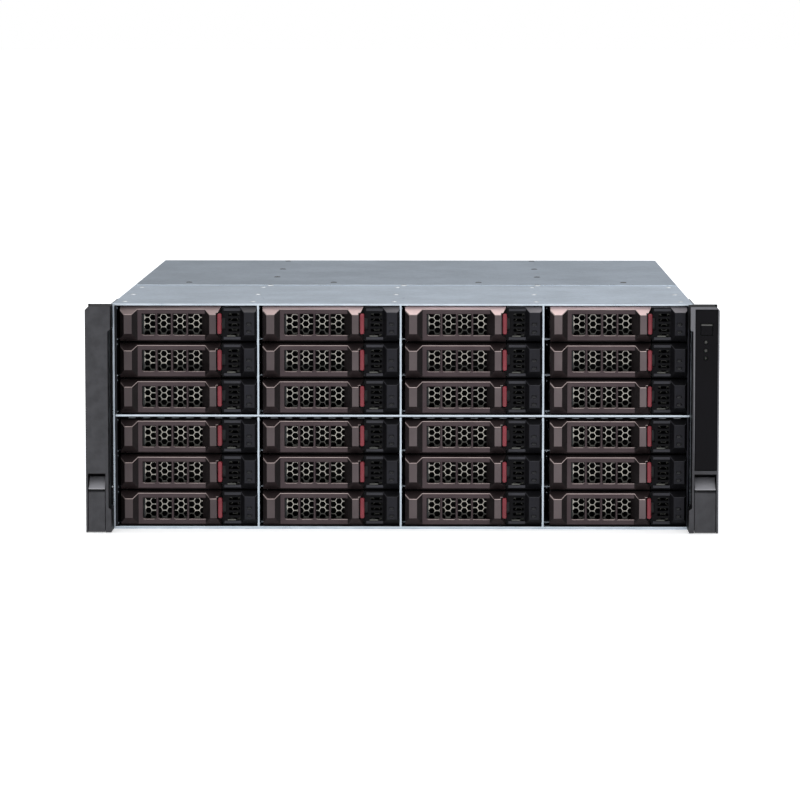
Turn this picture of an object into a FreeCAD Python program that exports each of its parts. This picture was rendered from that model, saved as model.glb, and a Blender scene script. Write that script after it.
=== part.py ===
"""Disk shelf enclosure: a 4U, 19-inch rack chassis with 24 drive carriers. Millimetres, +Z up, +Y to the rear.
The origin is on the underside, midway across, at the plane of the case's front edges."""
import FreeCAD
import Part

import math
import os

Vector = FreeCAD.Vector

# Case
caseWidth = 445.0
caseHeight = 174.0
caseDepth = 550.0
sheet = 1.5
gap = 0.3
seamY = 211.0
coverLip = 9.0
cageDepth = 196.0
rearFlangeY = 548.0

# Drive bays: columns from left to right, rows from the floor up
columns = 4
rows = 6
bayPitch = 109.35
bayShift = -1.3
lastBayExtra = 1.8
rowPitch = 27.9
firstRowZ = 3.0
shelfStep = 2.6
shelfBottom = 86.5
shelfThickness = 2.0
dividerThickness = 1.6

# Carrier: u runs across from its left edge, v up from its lower edge
carrierWidth = 104.6
carrierHeight = 26.6
bayLeftGap = 2.7
handleFoot = 2.2
handleBack = 5.0
columnRise = 5.7
bodyRise = 1.8
handleEnd = 77.3
windowLow = 5.2
windowHigh = 21.4
pinU = 3.2
pinY = 2.6
pinR = 0.9
screenY = 7.0
screenSheet = 0.8
railEnd = 191.0
sledLow = 1.6
sledHigh = 25.0
driveStart = 42.0
driveWidth = 101.6
driveHeight = 26.1
driveLength = 147.0
blockStart = 78.0
slotPitch = 3.95
slotHeight = 2.2

# Rack ears
rackWidth = 482.6
earBottom = 0.5
earTop = 173.5
earFront = -25.0
earBack = 3.2
bracketSheet = 1.8
bracketBack = earBack + bracketSheet
rackHoleSpacing = 465.1
rackHoleZ = 20.3
rackHoleR = 3.5
latchTop = 45.7
latchAxisY = -22.4
latchAxisZ = 3.6
latchPinR = 1.2
leftEar = {"side": -1, "inner": 224.1, "tab": 222.1, "latchInner": 226.4, "latchOuter": 239.8}
rightEar = {"side": 1, "inner": 221.3, "tab": 219.2, "latchInner": 222.9, "latchOuter": 239.6}

# Control panel in the right ear
panelLeft = 222.9
panelRight = 240.0
panelBottom = 48.4
panelTop = 171.6
buttonLeft = 226.9
buttonBottom = 151.7
buttonSize = 9.3
pipeX = 231.0
pipeHeights = (146.7, 140.2, 134.4)
pipeR = 1.4

# Rear modules, whose own left lower front corner is at (0, moduleStart, 0)
moduleStart = 230.0
moduleWidth = 216.0
psuHeight = 106.0
psuBottom = 3.0
ioHeight = 57.0
ioBottom = 113.4
moduleInset = 2.6
fanU = 60.0
fanV = 53.0
fanR = 44.0
fanSize = 92.0
fanSides = 20
handleAxisY = 553.5
handlePinR = 1.5
moduleWall = 1.2
inlet = {"left": 172.0, "right": 200.0, "bottom": 72.0, "top": 93.0}
psuBail = {"left": 120.0, "right": 208.0, "axisZ": 52.0, "gripZ": 10.0}
ioBail = {"left": 112.0, "right": 196.0, "axisZ": 45.0, "gripZ": 11.0}
portLefts = (18.0, 42.0, 66.0)
portBottom = 20.0
portWidth = 17.0
portHeight = 12.0


def box(x0, x1, y0, y1, z0, z1):
    return Part.makeBox(x1 - x0, y1 - y0, z1 - z0, Vector(x0, y0, z0))


def prism(points, along):
    """Closed outline of 3-D points, extruded by a vector."""
    wire = Part.makePolygon([Vector(*p) for p in points + points[:1]])
    return Part.Face(wire).extrude(Vector(*along))


def prismX(outline, x0, x1):
    return prism([(x0, y, z) for y, z in outline], (x1 - x0, 0, 0))


def prismY(outline, y0, y1):
    return prism([(x, y0, z) for x, z in outline], (0, y1 - y0, 0))


def prismZ(outline, z0, z1):
    return prism([(x, y, z0) for x, y in outline], (0, 0, z1 - z0))


def regular(sides, radius, across, up):
    """Regular outline round a centre, with flats at the given inner radius."""
    corner = radius / math.cos(math.pi / sides)
    turns = [(i + 0.5) * 2 * math.pi / sides for i in range(sides)]
    return [(across + corner * math.cos(t), up + corner * math.sin(t)) for t in turns]


def rod(radius, start, along):
    direction = Vector(*along)
    return Part.makeCylinder(radius, direction.Length, Vector(*start), direction)


def joined(shapes):
    return shapes[0].multiFuse(shapes[1:]).removeSplitter()


def cutBy(shape, tools):
    return shape.cut(tools).removeSplitter()


def moved(shape, x, y, z):
    return shape.translated(Vector(x, y, z))


def save(name, solids):
    shape = solids[0] if len(solids) == 1 else Part.makeCompound(solids)
    shape.exportStep(f"parts/{name}.step")


def dividerX(line):
    """Middle of a divider, counted from the left. The last bay is a little wider than the others."""
    return bayShift + (line - columns / 2) * bayPitch + (lastBayExtra if line == columns else 0)


def bayLeft(column):
    return dividerX(column) + dividerThickness / 2


def carrierLeft(column):
    return bayLeft(column) + bayLeftGap + (lastBayExtra if column == columns - 1 else 0)


def rowBottom(row):
    return firstRowZ + row * rowPitch + (shelfStep if row >= rows // 2 else 0)


# Case


def baseTray():
    half = caseWidth / 2
    wallTop = caseHeight - sheet
    floor = box(-half, half, 0, caseDepth, 0, sheet)
    frontHem = box(-half + sheet, half - sheet, 0, 8, sheet, sheet + 0.6)
    left = box(-half, -half + sheet, 0, caseDepth, sheet, wallTop)
    right = box(half - sheet, half, 0, caseDepth, sheet, wallTop)
    return joined([floor, frontHem, left, right])


def frontTopCover():
    half = caseWidth / 2
    plate = box(-half, half, 0, seamY - gap, caseHeight - sheet, caseHeight)
    lipY = seamY - gap - sheet
    lip = box(-half + 4, half - 4, lipY, lipY + sheet, caseHeight - coverLip, caseHeight - sheet)
    return joined([plate, lip])


def rearTopCover():
    half = caseWidth / 2
    under = caseHeight - sheet
    inner = half - sheet - gap
    hemBottom = ioBottom + ioHeight + 0.6
    plate = box(-half, half, seamY, caseDepth, under, caseHeight)
    lip = box(-inner, inner, seamY, seamY + sheet, caseHeight - coverLip, under)
    left = box(-inner, -inner + 1.2, seamY, rearFlangeY - 2, hemBottom, under)
    right = box(inner - 1.2, inner, seamY, rearFlangeY - 2, hemBottom, under)
    return joined([plate, lip, left, right])


def buttonHeads(places, radius):
    return [prismZ(regular(6, radius, x, y), caseHeight, caseHeight + 0.7) for x, y in places]


def frontCoverFasteners():
    wallRivets = [(x, y) for x in (-217, 214.4) for y in (27, 106, 190)]
    dividerLines = [dividerX(line) for line in range(1, columns)]
    dividerRivets = [(x, y) for x in dividerLines for y in (27, 106, 190)]
    seamScrews = [(x, seamY - 5) for x in dividerLines]
    return buttonHeads(wallRivets + dividerRivets, 2.3) + buttonHeads(seamScrews, 2.8)


def rearCoverScrews():
    bracketRow = [(x, 245) for x in (-180, -60, 60, 180)]
    innerRows = [(x, y) for x in (-110, 110) for y in (314, 420, 535)]
    return buttonHeads(bracketRow + innerRows, 2.8)


def bayDividers():
    """Upright plates between the columns and beside the outer ones, above and below the mid shelf."""
    plates = []
    tiers = [(sheet + 0.6, shelfBottom), (shelfBottom + shelfThickness, caseHeight - sheet)]
    for line in range(columns + 1):
        x = bayLeft(line)
        for z0, z1 in tiers:
            plates.append(box(x - dividerThickness, x, 0, cageDepth, z0, z1))
    return plates + guideRails()


def guideRails():
    """Ledges under the two side rails of each sled."""
    ledges = []
    thickness = 1.0
    for column in range(columns):
        left = bayLeft(column)
        right = dividerX(column + 1) - dividerThickness / 2
        for row in range(rows):
            z = rowBottom(row) + sledLow - gap
            ledges.append(box(left, carrierLeft(column) + 1.1, 14, cageDepth - 6, z - thickness, z))
            ledges.append(box(right - 1.6, right, 14, cageDepth - 6, z - thickness, z))
    return ledges


def midShelf():
    half = caseWidth / 2 - sheet - 0.2
    top = shelfBottom + shelfThickness
    plate = box(-half, half, 0, cageDepth, shelfBottom, top)
    rearFold = box(-half, half, cageDepth, cageDepth + 1.2, top - 5, top)
    vents = []
    for column in range(columns):
        left = bayLeft(column)
        vents.append(box(left + 14, left + 94, 60, 150, shelfBottom - 1, top + 1))
    return cutBy(joined([plate, rearFold]), vents)


def backplaneBoard():
    half = caseWidth / 2 - 3.5
    board = box(-half, half, cageDepth + 1.5, cageDepth + 3.9, 5, caseHeight - 11)
    airflow = []
    for column in range(columns):
        left = carrierLeft(column)
        for row in (0, rows // 2):
            low = rowBottom(row) + 8
            high = rowBottom(row + 2) + 18
            airflow.append(box(left + 54, left + 98, cageDepth, cageDepth + 5, low, high))
    return board.cut(airflow)


def backplaneConnectors():
    """One drive socket behind each bay."""
    start = cageDepth - 6.7
    end = cageDepth + 1.5
    solids = []
    for column in range(columns):
        left = carrierLeft(column)
        for row in range(rows):
            z = rowBottom(row) + 8
            solids.append(box(left + 6, left + 48, start, end, z, z + 6.5))
    return solids + moduleConnectors()


def moduleConnectors():
    solids = []
    for left in (-moduleWidth - moduleInset + 0.1, moduleInset - 0.1):
        for bottom in (psuBottom, ioBottom):
            x = left + 30
            z = bottom + 14
            solids.append(box(x, x + 70, cageDepth + 3.9, cageDepth + 18, z, z + 14))
    return solids


def rearFrame():
    """Rear flange with four module openings, the wall between the columns and the shelf between the rows."""
    inner = caseWidth / 2 - sheet
    top = caseHeight - sheet
    plate = box(-inner, inner, rearFlangeY, caseDepth, sheet, top)
    openings = []
    for left in moduleLefts():
        right = left + moduleWidth
        y0, y1 = rearFlangeY - 1, caseDepth + 1
        openings.append(box(left - 0.5, right + 0.5, y0, y1, psuBottom - 0.5, psuBottom + psuHeight + 0.5))
        openings.append(box(left - 0.5, right + 0.5, y0, y1, ioBottom - 0.5, ioBottom + ioHeight + 0.5))
    flange = plate.cut(openings)
    wall = box(-1, 1, moduleStart, rearFlangeY, sheet, caseHeight - 10)
    shelf = box(-inner, inner, moduleStart, rearFlangeY, psuBottom + psuHeight + 1.2, ioBottom - 0.8)
    return joined([flange, wall, shelf])


# Rack ears


def earBracket(side):
    """Steel angle: the flange lies against the rack, the leg runs back along the case."""
    inner = caseWidth / 2
    outer = rackWidth / 2
    outline = [
        (outer, earBack),
        (outer, bracketBack),
        (inner + sheet, bracketBack),
        (inner + sheet, 62),
        (inner, 62),
        (inner, 0.6),
        (inner + sheet, 0.6),
        (inner + sheet, earBack),
    ]
    bracket = prismZ([(side * x, y) for x, y in outline], earBottom, earTop)
    return bracket.cut([rackHole(side)])


def rackHole(side):
    return rod(rackHoleR, (side * rackHoleSpacing / 2, earFront, rackHoleZ), (0, 40, 0))


def screwAccess(side):
    """Opening in the moulding, wide enough for the head of a rack screw."""
    return prismY(regular(8, 6.2, side * rackHoleSpacing / 2, rackHoleZ), earFront, earBack + 1)


def earOutline(inner, tab, outer, tabHeight):
    """Front view of an ear: narrower between its upper and lower tabs, with a bevelled outer top corner."""
    return [
        (tab, earBottom),
        (outer, earBottom),
        (outer, earTop - 2.6),
        (outer - 2.6, earTop),
        (tab, earTop),
        (tab, earTop - tabHeight),
        (inner, earTop - tabHeight - 1.5),
        (inner, earBottom + tabHeight + 1.5),
        (tab, earBottom + tabHeight),
    ]


def earCover(side, inner, tab, latchInner, latchOuter):
    outer = rackWidth / 2
    outline = [(side * x, z) for x, z in earOutline(inner, tab, outer, 17.4)]
    body = prismY(outline, earFront, -0.5)
    backLow = min(side * (caseWidth / 2 + 1.8), side * outer)
    back = box(backLow, backLow + outer - caseWidth / 2 - 1.8, -0.5, earBack, earBottom, earTop - 2.6)
    pocketLow = min(side * latchInner, side * latchOuter)
    pocket = box(pocketLow, pocketLow + latchOuter - latchInner, earFront - 1, -3, earBottom - 1, latchTop)
    sockets = regular(8, latchPinR + gap, latchAxisY, latchAxisZ)
    axle = prismX(sockets, pocketLow - 1.2, pocketLow + latchOuter - latchInner + 1.2)
    return cutBy(joined([body, back]), [pocket, axle, screwAccess(side)])


def rightEarCover():
    recess = box(panelLeft, panelRight, earFront - 1, -17, panelBottom, panelTop)
    return cutBy(earCover(**rightEar), [recess])


def controlPanel():
    plate = box(panelLeft + 0.2, panelRight - 0.2, -24.3, -22.3, panelBottom + 0.2, panelTop - 0.2)
    right = buttonLeft + buttonSize
    hole = box(buttonLeft, right, -26, -20, buttonBottom, buttonBottom + buttonSize)
    pipes = [prismY(regular(8, pipeR + 0.1, pipeX, z), -26, -20) for z in pipeHeights]
    board = box(panelLeft + 1, panelRight - 1, -19.2, -17.6, panelBottom + 40, panelTop - 3)
    return [cutBy(plate, [hole] + pipes), board]


def statusLightPipes():
    return [prismY(regular(8, pipeR, pipeX, z), -24.1, -19.2) for z in pipeHeights]


def powerButton():
    left = buttonLeft + gap
    right = buttonLeft + buttonSize - gap
    low = buttonBottom + gap
    high = buttonBottom + buttonSize - gap
    outline = [(-24.0, low), (-21.2, low), (-21.2, high), (-23.2, high), (-24.0, high - 1.4)]
    return prismX(outline, left, right)


def latchLever(latchInner, latchOuter, side):
    """Moulded flap: flat face, a groove under the ridge, then a slope that leads a finger behind it."""
    face = [
        (-23.8, 0.6),
        (-25.0, 1.8),
        (-25.0, 31.4),
        (-23.6, 31.9),
        (-23.6, 33.0),
        (-25.5, 33.9),
        (-14.2, 42.2),
        (-12.0, 42.2),
        (-12.0, 40.2),
        (-21.6, 31.0),
        (-21.6, 6.0),
        (-20.2, 4.6),
        (-20.2, 1.6),
        (-21.2, 0.6),
    ]
    low = min(side * latchInner, side * latchOuter)
    width = latchOuter - latchInner
    flap = prismX(face, low + 0.4, low + width - 0.4)
    axle = rod(latchPinR, (low - 0.9, latchAxisY, latchAxisZ), (width + 1.8, 0, 0))
    return joined([flap, axle])


# Drive carriers, each made at its own corner and then moved to its bay


def handleBlank():
    """Faceted bar: the across profile and the upright profile, both with 45 degree flanks, meet in one body."""
    foot = handleFoot
    column = foot - columnRise
    body = foot - bodyRise
    across = [
        (0, handleBack),
        (0, foot - 2.5),
        (3.7, column),
        (9.6, column),
        (13.8, body),
        (65.0, body),
        (68.6, column),
        (74.0, column),
        (handleEnd, foot),
        (handleEnd, handleBack),
    ]
    upright = [
        (handleBack, 0),
        (foot, 0),
        (column, columnRise),
        (column, carrierHeight - columnRise),
        (foot, carrierHeight),
        (handleBack, carrierHeight),
    ]
    return prismZ(across, 0, carrierHeight).common(prismX(upright, 0, handleEnd))


def handleWindows():
    """Three upright windows, and a fourth whose right side leans back from the column to the screen."""
    front = handleFoot - columnRise - 1
    cuts = [box(u, u + 9.8, front, handleBack + 1, windowLow, windowHigh) for u in (17.4, 29.1, 40.8)]
    lean = [(52.4, front), (69.4, front), (61.2, handleBack + 1), (52.4, handleBack + 1)]
    return cuts + [prismZ(lean, windowLow, windowHigh)]


def latchNotch():
    middle = carrierHeight / 2
    return box(74.1, blockStart, -5, handleBack + 1, middle - 8.6, middle + 8.6)


def carrierHandle():
    return handleBlank().cut(handleWindows() + [latchNotch()])


def hingedHandle():
    knuckleRoom = box(-1, 5.8, 0.2, handleBack + 1, 8.7, 17.9)
    pin = rod(pinR, (pinU, pinY, 7), (0, 0, 12.6))
    return joined([carrierHandle().cut([knuckleRoom]), pin])


def releaseLatch(stemmed):
    """Pill-shaped bar that slides towards the vented block, on a stem behind it."""
    middle = carrierHeight / 2
    left, right = 74.6, 78.0
    end, bevel = 8.1, 1.1
    outline = [
        (left + bevel, middle - end),
        (right - bevel, middle - end),
        (right, middle - end + bevel),
        (right, middle + end - bevel),
        (right - bevel, middle + end),
        (left + bevel, middle + end),
        (left, middle + end - bevel),
        (left, middle - end + bevel),
    ]
    bar = prismY(outline, -3.2, 1.0)
    stem = box(left + 0.8, right - 0.8, 1.0, screenY - 0.5, middle - 4, middle + 4)
    return joined([bar, stem]) if stemmed else bar


def ventedBlock(slotted):
    """Fixed block beside the latch: low floor with two rims, and a raised column at the right."""
    foot = handleFoot
    column = foot - columnRise
    low = 1.4
    middle = carrierHeight / 2
    across = [
        (blockStart, screenY),
        (blockStart, low),
        (92.0, low),
        (95.2, column),
        (103.2, column),
        (carrierWidth, column + 1.6),
        (carrierWidth, screenY),
    ]
    upright = [
        (screenY, 0),
        (foot, 0),
        (column, 5.0),
        (column, carrierHeight - 4.2),
        (foot, carrierHeight),
        (screenY, carrierHeight),
    ]
    block = prismZ(across, 0, carrierHeight).common(prismX(upright, blockStart, carrierWidth))
    if not slotted:
        return block
    rims = [box(79.4, 92.4, 0.5, low, v, v + 2.0) for v in (1.3, 23.3)]
    cuts = [box(blockStart - 1, 80.5, low - 1, screenY + 1, middle - 4.6, middle + 4.6)]
    centres = [12.4 + (i - 2) * slotPitch for i in range(5)]
    cuts += [box(83.0, 91.4, 0, screenY + 1, v - slotHeight / 2, v + slotHeight / 2) for v in centres]
    return joined([block] + rims).cut(cuts)


def sled(knuckle):
    """Steel channel: front screen, two side rails and, under a hinged handle, its knuckle."""
    channel = [
        (0, screenY),
        (carrierWidth, screenY),
        (carrierWidth, railEnd),
        (carrierWidth - sheet, railEnd),
        (carrierWidth - sheet, screenY + screenSheet),
        (sheet, screenY + screenSheet),
        (sheet, railEnd),
        (0, railEnd),
    ]
    body = prismZ(channel, sledLow, sledHigh)
    if not knuckle:
        return body
    nose = [(1.3, screenY), (1.3, 1.8), (2.3, 0.6), (4.1, 0.6), (5.1, 1.8), (5.1, screenY)]
    bore = prismZ(regular(8, pinR + gap, pinU, pinY), 8, 19)
    return joined([body, prismZ(nose, 9.0, 17.6).cut([bore])])


def drive():
    """3.5-inch drive, held between the rails."""
    left = (carrierWidth - driveWidth) / 2
    right = left + driveWidth
    low = 0.25
    high = low + driveHeight
    return box(left, right, driveStart, driveStart + driveLength, low, high)


def carrierBody(hinged):
    return [sled(hinged), drive(), ventedBlock(hinged)]


# Rear modules


def bailLugs(left, right, axisZ):
    """Two lugs on the panel with pins out to the handle's arms: a turned one, and a keyed one opposite."""
    thickness, reach, buried = 3.4, 6.2, 1.0
    lugs = []
    for face, outward in ((left + 7.6, -1), (right - 7.6, 1)):
        low = min(face, face - outward * thickness)
        lugs.append(box(low, low + thickness, rearFlangeY, handleAxisY + 3, axisZ - 3.5, axisZ + 3.5))
    lugs.append(rod(handlePinR, (left + 7.6 + buried, handleAxisY, axisZ), (-reach - buried, 0, 0)))
    keyed = regular(8, handlePinR, handleAxisY, axisZ)
    lugs.append(prismX(keyed, right - 7.6 - buried, right - 7.6 + reach))
    return lugs


def bailHandle(left, right, axisZ, gripZ):
    """Square-section loop that hangs against the panel and swings up to pull the module."""
    y0, y1 = handleAxisY - 2.6, handleAxisY + 2.6
    high = axisZ + 3.2
    arms = [box(left, left + 6.4, y0, y1, gripZ, high), box(right - 6.4, right, y0, y1, gripZ, high)]
    gripTop = gripZ + 6
    outline = [(y0, gripZ), (y1 - 1.5, gripZ), (y1, gripZ + 2), (y1, gripTop), (y0, gripTop)]
    grip = prismX(outline, left, right)
    bore = prismX(regular(8, handlePinR + 0.4, handleAxisY, axisZ), left - 1, right + 1)
    return cutBy(joined(arms + [grip]), [bore])


def panelCut(x0, x1, z0, z1):
    return box(x0, x1, rearFlangeY - 2, rearFlangeY + 2, z0, z1)


def bailLugsOf(bail):
    return bailLugs(bail["left"], bail["right"], bail["axisZ"])


def psuShell():
    w, h, wall = moduleWidth, psuHeight, moduleWall
    outer = box(0, w, moduleStart, rearFlangeY + 1, 0, h)
    inner = box(wall, w - wall, moduleStart + wall, rearFlangeY - 0.2, wall, h - wall)
    intake = box(14, w - 14, moduleStart - 1, moduleStart + 2, 36, h - 10)
    outlet = prismY(regular(fanSides, fanR, fanU, fanV), rearFlangeY - 2, rearFlangeY + 3)
    socket = panelCut(inlet["left"], inlet["right"], inlet["bottom"], inlet["top"])
    return outer.cut([inner, intake, outlet, socket])


def fanFrame():
    half = fanSize / 2
    end = rearFlangeY - 0.2
    ring = box(fanU - half, fanU + half, end - 25, end, fanV - half, fanV + half)
    bore = prismY(regular(fanSides, fanR, fanU, fanV), end - 26, end + 1)
    struts = [
        box(fanU - half, fanU + half, end - 2.4, end, fanV - 2, fanV + 2),
        box(fanU - 2, fanU + 2, end - 2.4, end, fanV - half, fanV + half),
        prismY(regular(8, 14, fanU, fanV), end - 2.4, end),
    ]
    return joined([ring.cut([bore])] + struts)


def powerInlet():
    """Appliance inlet: a moulded shroud round three flat pins."""
    left, right = inlet["left"] + 0.2, inlet["right"] - 0.2
    bottom, top = inlet["bottom"] + 0.2, inlet["top"] - 0.2
    body = box(left, right, 524, rearFlangeY + 1.6, bottom, top)
    cavity = box(left + 2.6, right - 2.6, 533, 552, bottom + 3, top - 3)
    middle = (left + right) / 2
    height = (bottom + top) / 2
    pins = [box(middle + u - 1, middle + u + 1, 532, 543, height + v - 2, height + v + 2)
            for u, v in ((-7, -1.5), (0, 1.5), (7, -1.5))]
    return joined([body.cut([cavity])] + pins)


def psu():
    shell = joined([psuShell()] + bailLugsOf(psuBail))
    converter = box(116, 208, 300, 450, 1.2, 60)
    plug = box(36, 94, 214.6, moduleStart, 16, 26)
    return [shell, fanFrame(), converter, powerInlet(), plug]


def fanRotor():
    """Hub with seven pitched blades, turning about the module's depth."""
    end = rearFlangeY - 3.2
    hub = prismY(regular(14, 15, fanU, fanV), end - 20, end)
    spindle = rod(2.2, (fanU, end - 21.5, fanV), (0, 2.5, 0))
    blade = prism(
        [(-3.5, end - 18, 14), (-2, end - 18, 14), (5, end - 2, 14), (3.5, end - 2, 14)],
        (0, 0, fanR - 14 - 1.4),
    )
    blade = moved(blade, fanU, 0, fanV)
    centre = Vector(fanU, 0, fanV)
    blades = []
    for i in range(7):
        turned = blade.copy()
        turned.rotate(centre, Vector(0, 1, 0), i * 360 / 7)
        blades.append(turned)
    return joined([hub, spindle] + blades)


def ioModule():
    """Canister with a circuit board inside and three cable ports at the rear."""
    w, h, wall = moduleWidth, ioHeight, moduleWall
    outer = box(0, w, moduleStart, rearFlangeY + 1, 0, h)
    inner = box(wall, w - wall, moduleStart + wall, rearFlangeY - 0.2, wall, h - wall)
    low, high = portBottom, portBottom + portHeight
    wells = []
    cages = []
    for left in portLefts:
        right = left + portWidth
        wells.append(panelCut(left, right, low, high))
        cage = box(left, right, rearFlangeY - 13, rearFlangeY + 1.8, low, high)
        mouth = box(left + 1.2, right - 1.2, rearFlangeY - 1.6, rearFlangeY + 3, low + 2, high - 2)
        cages.append(cage.cut([mouth]))
    shell = joined([outer.cut([inner] + wells)] + bailLugsOf(ioBail))
    board = box(6, w - 6, moduleStart + 3, rearFlangeY - 2, 18, portBottom)
    plug = box(36, 94, 214.6, moduleStart, 16, 26)
    return [shell, board, plug] + cages


def moduleLefts():
    return (-moduleWidth - moduleInset, moduleInset)


def placed(solids, x, z):
    return [moved(s, x, 0, z) for s in solids]


def main():
    os.makedirs("parts", exist_ok=True)
    save("base_tray", [baseTray()])
    save("front_top_cover", [frontTopCover()])
    save("front_cover_fasteners", frontCoverFasteners())
    save("rear_top_cover", [rearTopCover()])
    save("rear_cover_screws", rearCoverScrews())
    save("bay_dividers", bayDividers())
    save("mid_shelf", [midShelf()])
    save("backplane_board", [backplaneBoard()])
    save("backplane_connectors", backplaneConnectors())
    save("rear_frame", [rearFrame()])
    save("ear_brackets", [earBracket(-1), earBracket(1)])
    save("left_ear_cover", [earCover(**leftEar)])
    save("right_ear_cover", [rightEarCover()])
    save("control_panel", controlPanel())
    save("status_light_pipes", statusLightPipes())
    save("power_button", [powerButton()])
    for name, ear in (("left_latch_lever", leftEar), ("right_latch_lever", rightEar)):
        save(name, [latchLever(ear["latchInner"], ear["latchOuter"], ear["side"])])

    hingedSolids = carrierBody(True)
    fixedSolids = carrierBody(False) + [carrierHandle(), releaseLatch(False)]
    for column in range(columns):
        x = carrierLeft(column)
        for row in range(rows):
            z = rowBottom(row)
            hinged = row == rows - 1
            solids = hingedSolids if hinged else fixedSolids
            save(f"carrier_{column + 1}_{row + 1}", placed(solids, x, z))
            if hinged:
                save(f"carrier_{column + 1}_{row + 1}_handle", placed([hingedHandle()], x, z))
                save(f"carrier_{column + 1}_{row + 1}_latch", placed([releaseLatch(True)], x, z))

    for number, left in enumerate(moduleLefts(), 1):
        save(f"psu_{number}", placed(psu(), left, psuBottom))
        save(f"psu_{number}_handle", placed([bailHandle(**psuBail)], left, psuBottom))
        save(f"psu_{number}_fan_rotor", placed([fanRotor()], left, psuBottom))
        save(f"io_module_{number}", placed(ioModule(), left, ioBottom))
        save(f"io_module_{number}_handle", placed([bailHandle(**ioBail)], left, ioBottom))


main()
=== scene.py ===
import math
import bmesh
import bpy
from mathutils import Matrix, Vector


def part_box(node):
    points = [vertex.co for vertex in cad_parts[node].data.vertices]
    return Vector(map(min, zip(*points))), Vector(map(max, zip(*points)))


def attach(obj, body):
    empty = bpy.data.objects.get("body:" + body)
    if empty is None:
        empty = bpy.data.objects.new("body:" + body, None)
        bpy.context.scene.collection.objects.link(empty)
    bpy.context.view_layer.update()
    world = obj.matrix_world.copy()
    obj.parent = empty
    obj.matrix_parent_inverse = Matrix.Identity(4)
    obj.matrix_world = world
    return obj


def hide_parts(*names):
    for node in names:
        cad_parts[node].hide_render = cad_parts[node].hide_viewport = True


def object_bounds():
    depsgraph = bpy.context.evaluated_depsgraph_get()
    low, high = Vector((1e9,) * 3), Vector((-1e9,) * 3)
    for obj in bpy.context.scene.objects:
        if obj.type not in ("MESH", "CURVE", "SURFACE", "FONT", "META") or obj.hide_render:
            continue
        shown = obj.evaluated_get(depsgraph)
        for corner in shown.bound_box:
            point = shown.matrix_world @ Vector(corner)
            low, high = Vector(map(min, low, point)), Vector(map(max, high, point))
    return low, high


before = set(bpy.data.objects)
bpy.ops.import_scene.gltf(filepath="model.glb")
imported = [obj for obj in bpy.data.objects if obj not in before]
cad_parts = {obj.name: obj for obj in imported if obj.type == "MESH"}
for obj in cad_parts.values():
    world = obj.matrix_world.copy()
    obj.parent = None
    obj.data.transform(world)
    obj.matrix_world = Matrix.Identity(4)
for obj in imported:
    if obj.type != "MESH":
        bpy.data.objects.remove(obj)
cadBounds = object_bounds()
mm = 0.001
print("frame loaded:", len(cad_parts), "nodes")


# One output of a node. Python's operators on it add Math nodes.
class Value:
    def __init__(self, finish, socket):
        self.finish = finish
        self.socket = socket

    def __add__(self, other):
        return self.finish.maths("ADD", self, other)

    def __radd__(self, other):
        return self.finish.maths("ADD", other, self)

    def __sub__(self, other):
        return self.finish.maths("SUBTRACT", self, other)

    def __rsub__(self, other):
        return self.finish.maths("SUBTRACT", other, self)

    def __mul__(self, other):
        return self.finish.maths("MULTIPLY", self, other)

    def __rmul__(self, other):
        return self.finish.maths("MULTIPLY", other, self)


# Builds one node tree. node() makes every node that isn't plain arithmetic.
class Finish:
    def __init__(self, tree):
        self.tree = tree
        tree.nodes.clear()

    def node(self, kind, settings=None, inputs=None, output=0):
        made = self.tree.nodes.new(kind)
        for key, value in (settings or {}).items():
            setattr(made, key, value)
        for key, value in (inputs or {}).items():
            if isinstance(value, Value):
                self.tree.links.new(value.socket, made.inputs[key])
            else:
                made.inputs[key].default_value = value
        return Value(self, made.outputs[output]) if len(made.outputs) else made

    def maths(self, operation, a, b):
        return self.node("ShaderNodeMath", {"operation": operation}, {0: a, 1: b})

    def spread(self, value, low, high, toLow=0.0, toHigh=1.0, curve="SMOOTHSTEP"):
        inputs = {"Value": value, "From Min": low, "From Max": high, "To Min": toLow, "To Max": toHigh}
        return self.node("ShaderNodeMapRange", {"interpolation_type": curve}, inputs)

    def here(self):
        return self.node("ShaderNodeTexCoord", output="Object")

    def place(self, stretch=(1, 1, 1)):
        inputs = {"Vector": self.here(), "Scale": stretch}
        return self.node("ShaderNodeMapping", {"vector_type": "POINT"}, inputs)

    def noise(self, scale, detail, stretch=(1, 1, 1)):
        inputs = {"Vector": self.place(stretch), "Scale": scale, "Detail": detail}
        return self.node("ShaderNodeTexNoise", None, inputs)

    def cells(self, scale):
        inputs = {"Vector": self.place(), "Scale": scale}
        return self.node("ShaderNodeTexVoronoi", None, inputs, "Color")

    def blend(self, share, first, second):
        return self.node("ShaderNodeMix", {"data_type": "RGBA"}, {0: share, 6: first, 7: second}, 2)

    def bump(self, height, strength, distance):
        inputs = {"Height": height, "Strength": strength, "Distance": distance}
        return self.node("ShaderNodeBump", None, inputs)


# Display colour, 0 to 255, as the shader wants it.
def tint(red, green, blue):
    def linear(c):
        c = c / 255
        return c / 12.92 if c <= 0.04045 else ((c + 0.055) / 1.055) ** 2.4
    return (linear(red), linear(green), linear(blue), 1.0)


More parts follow.
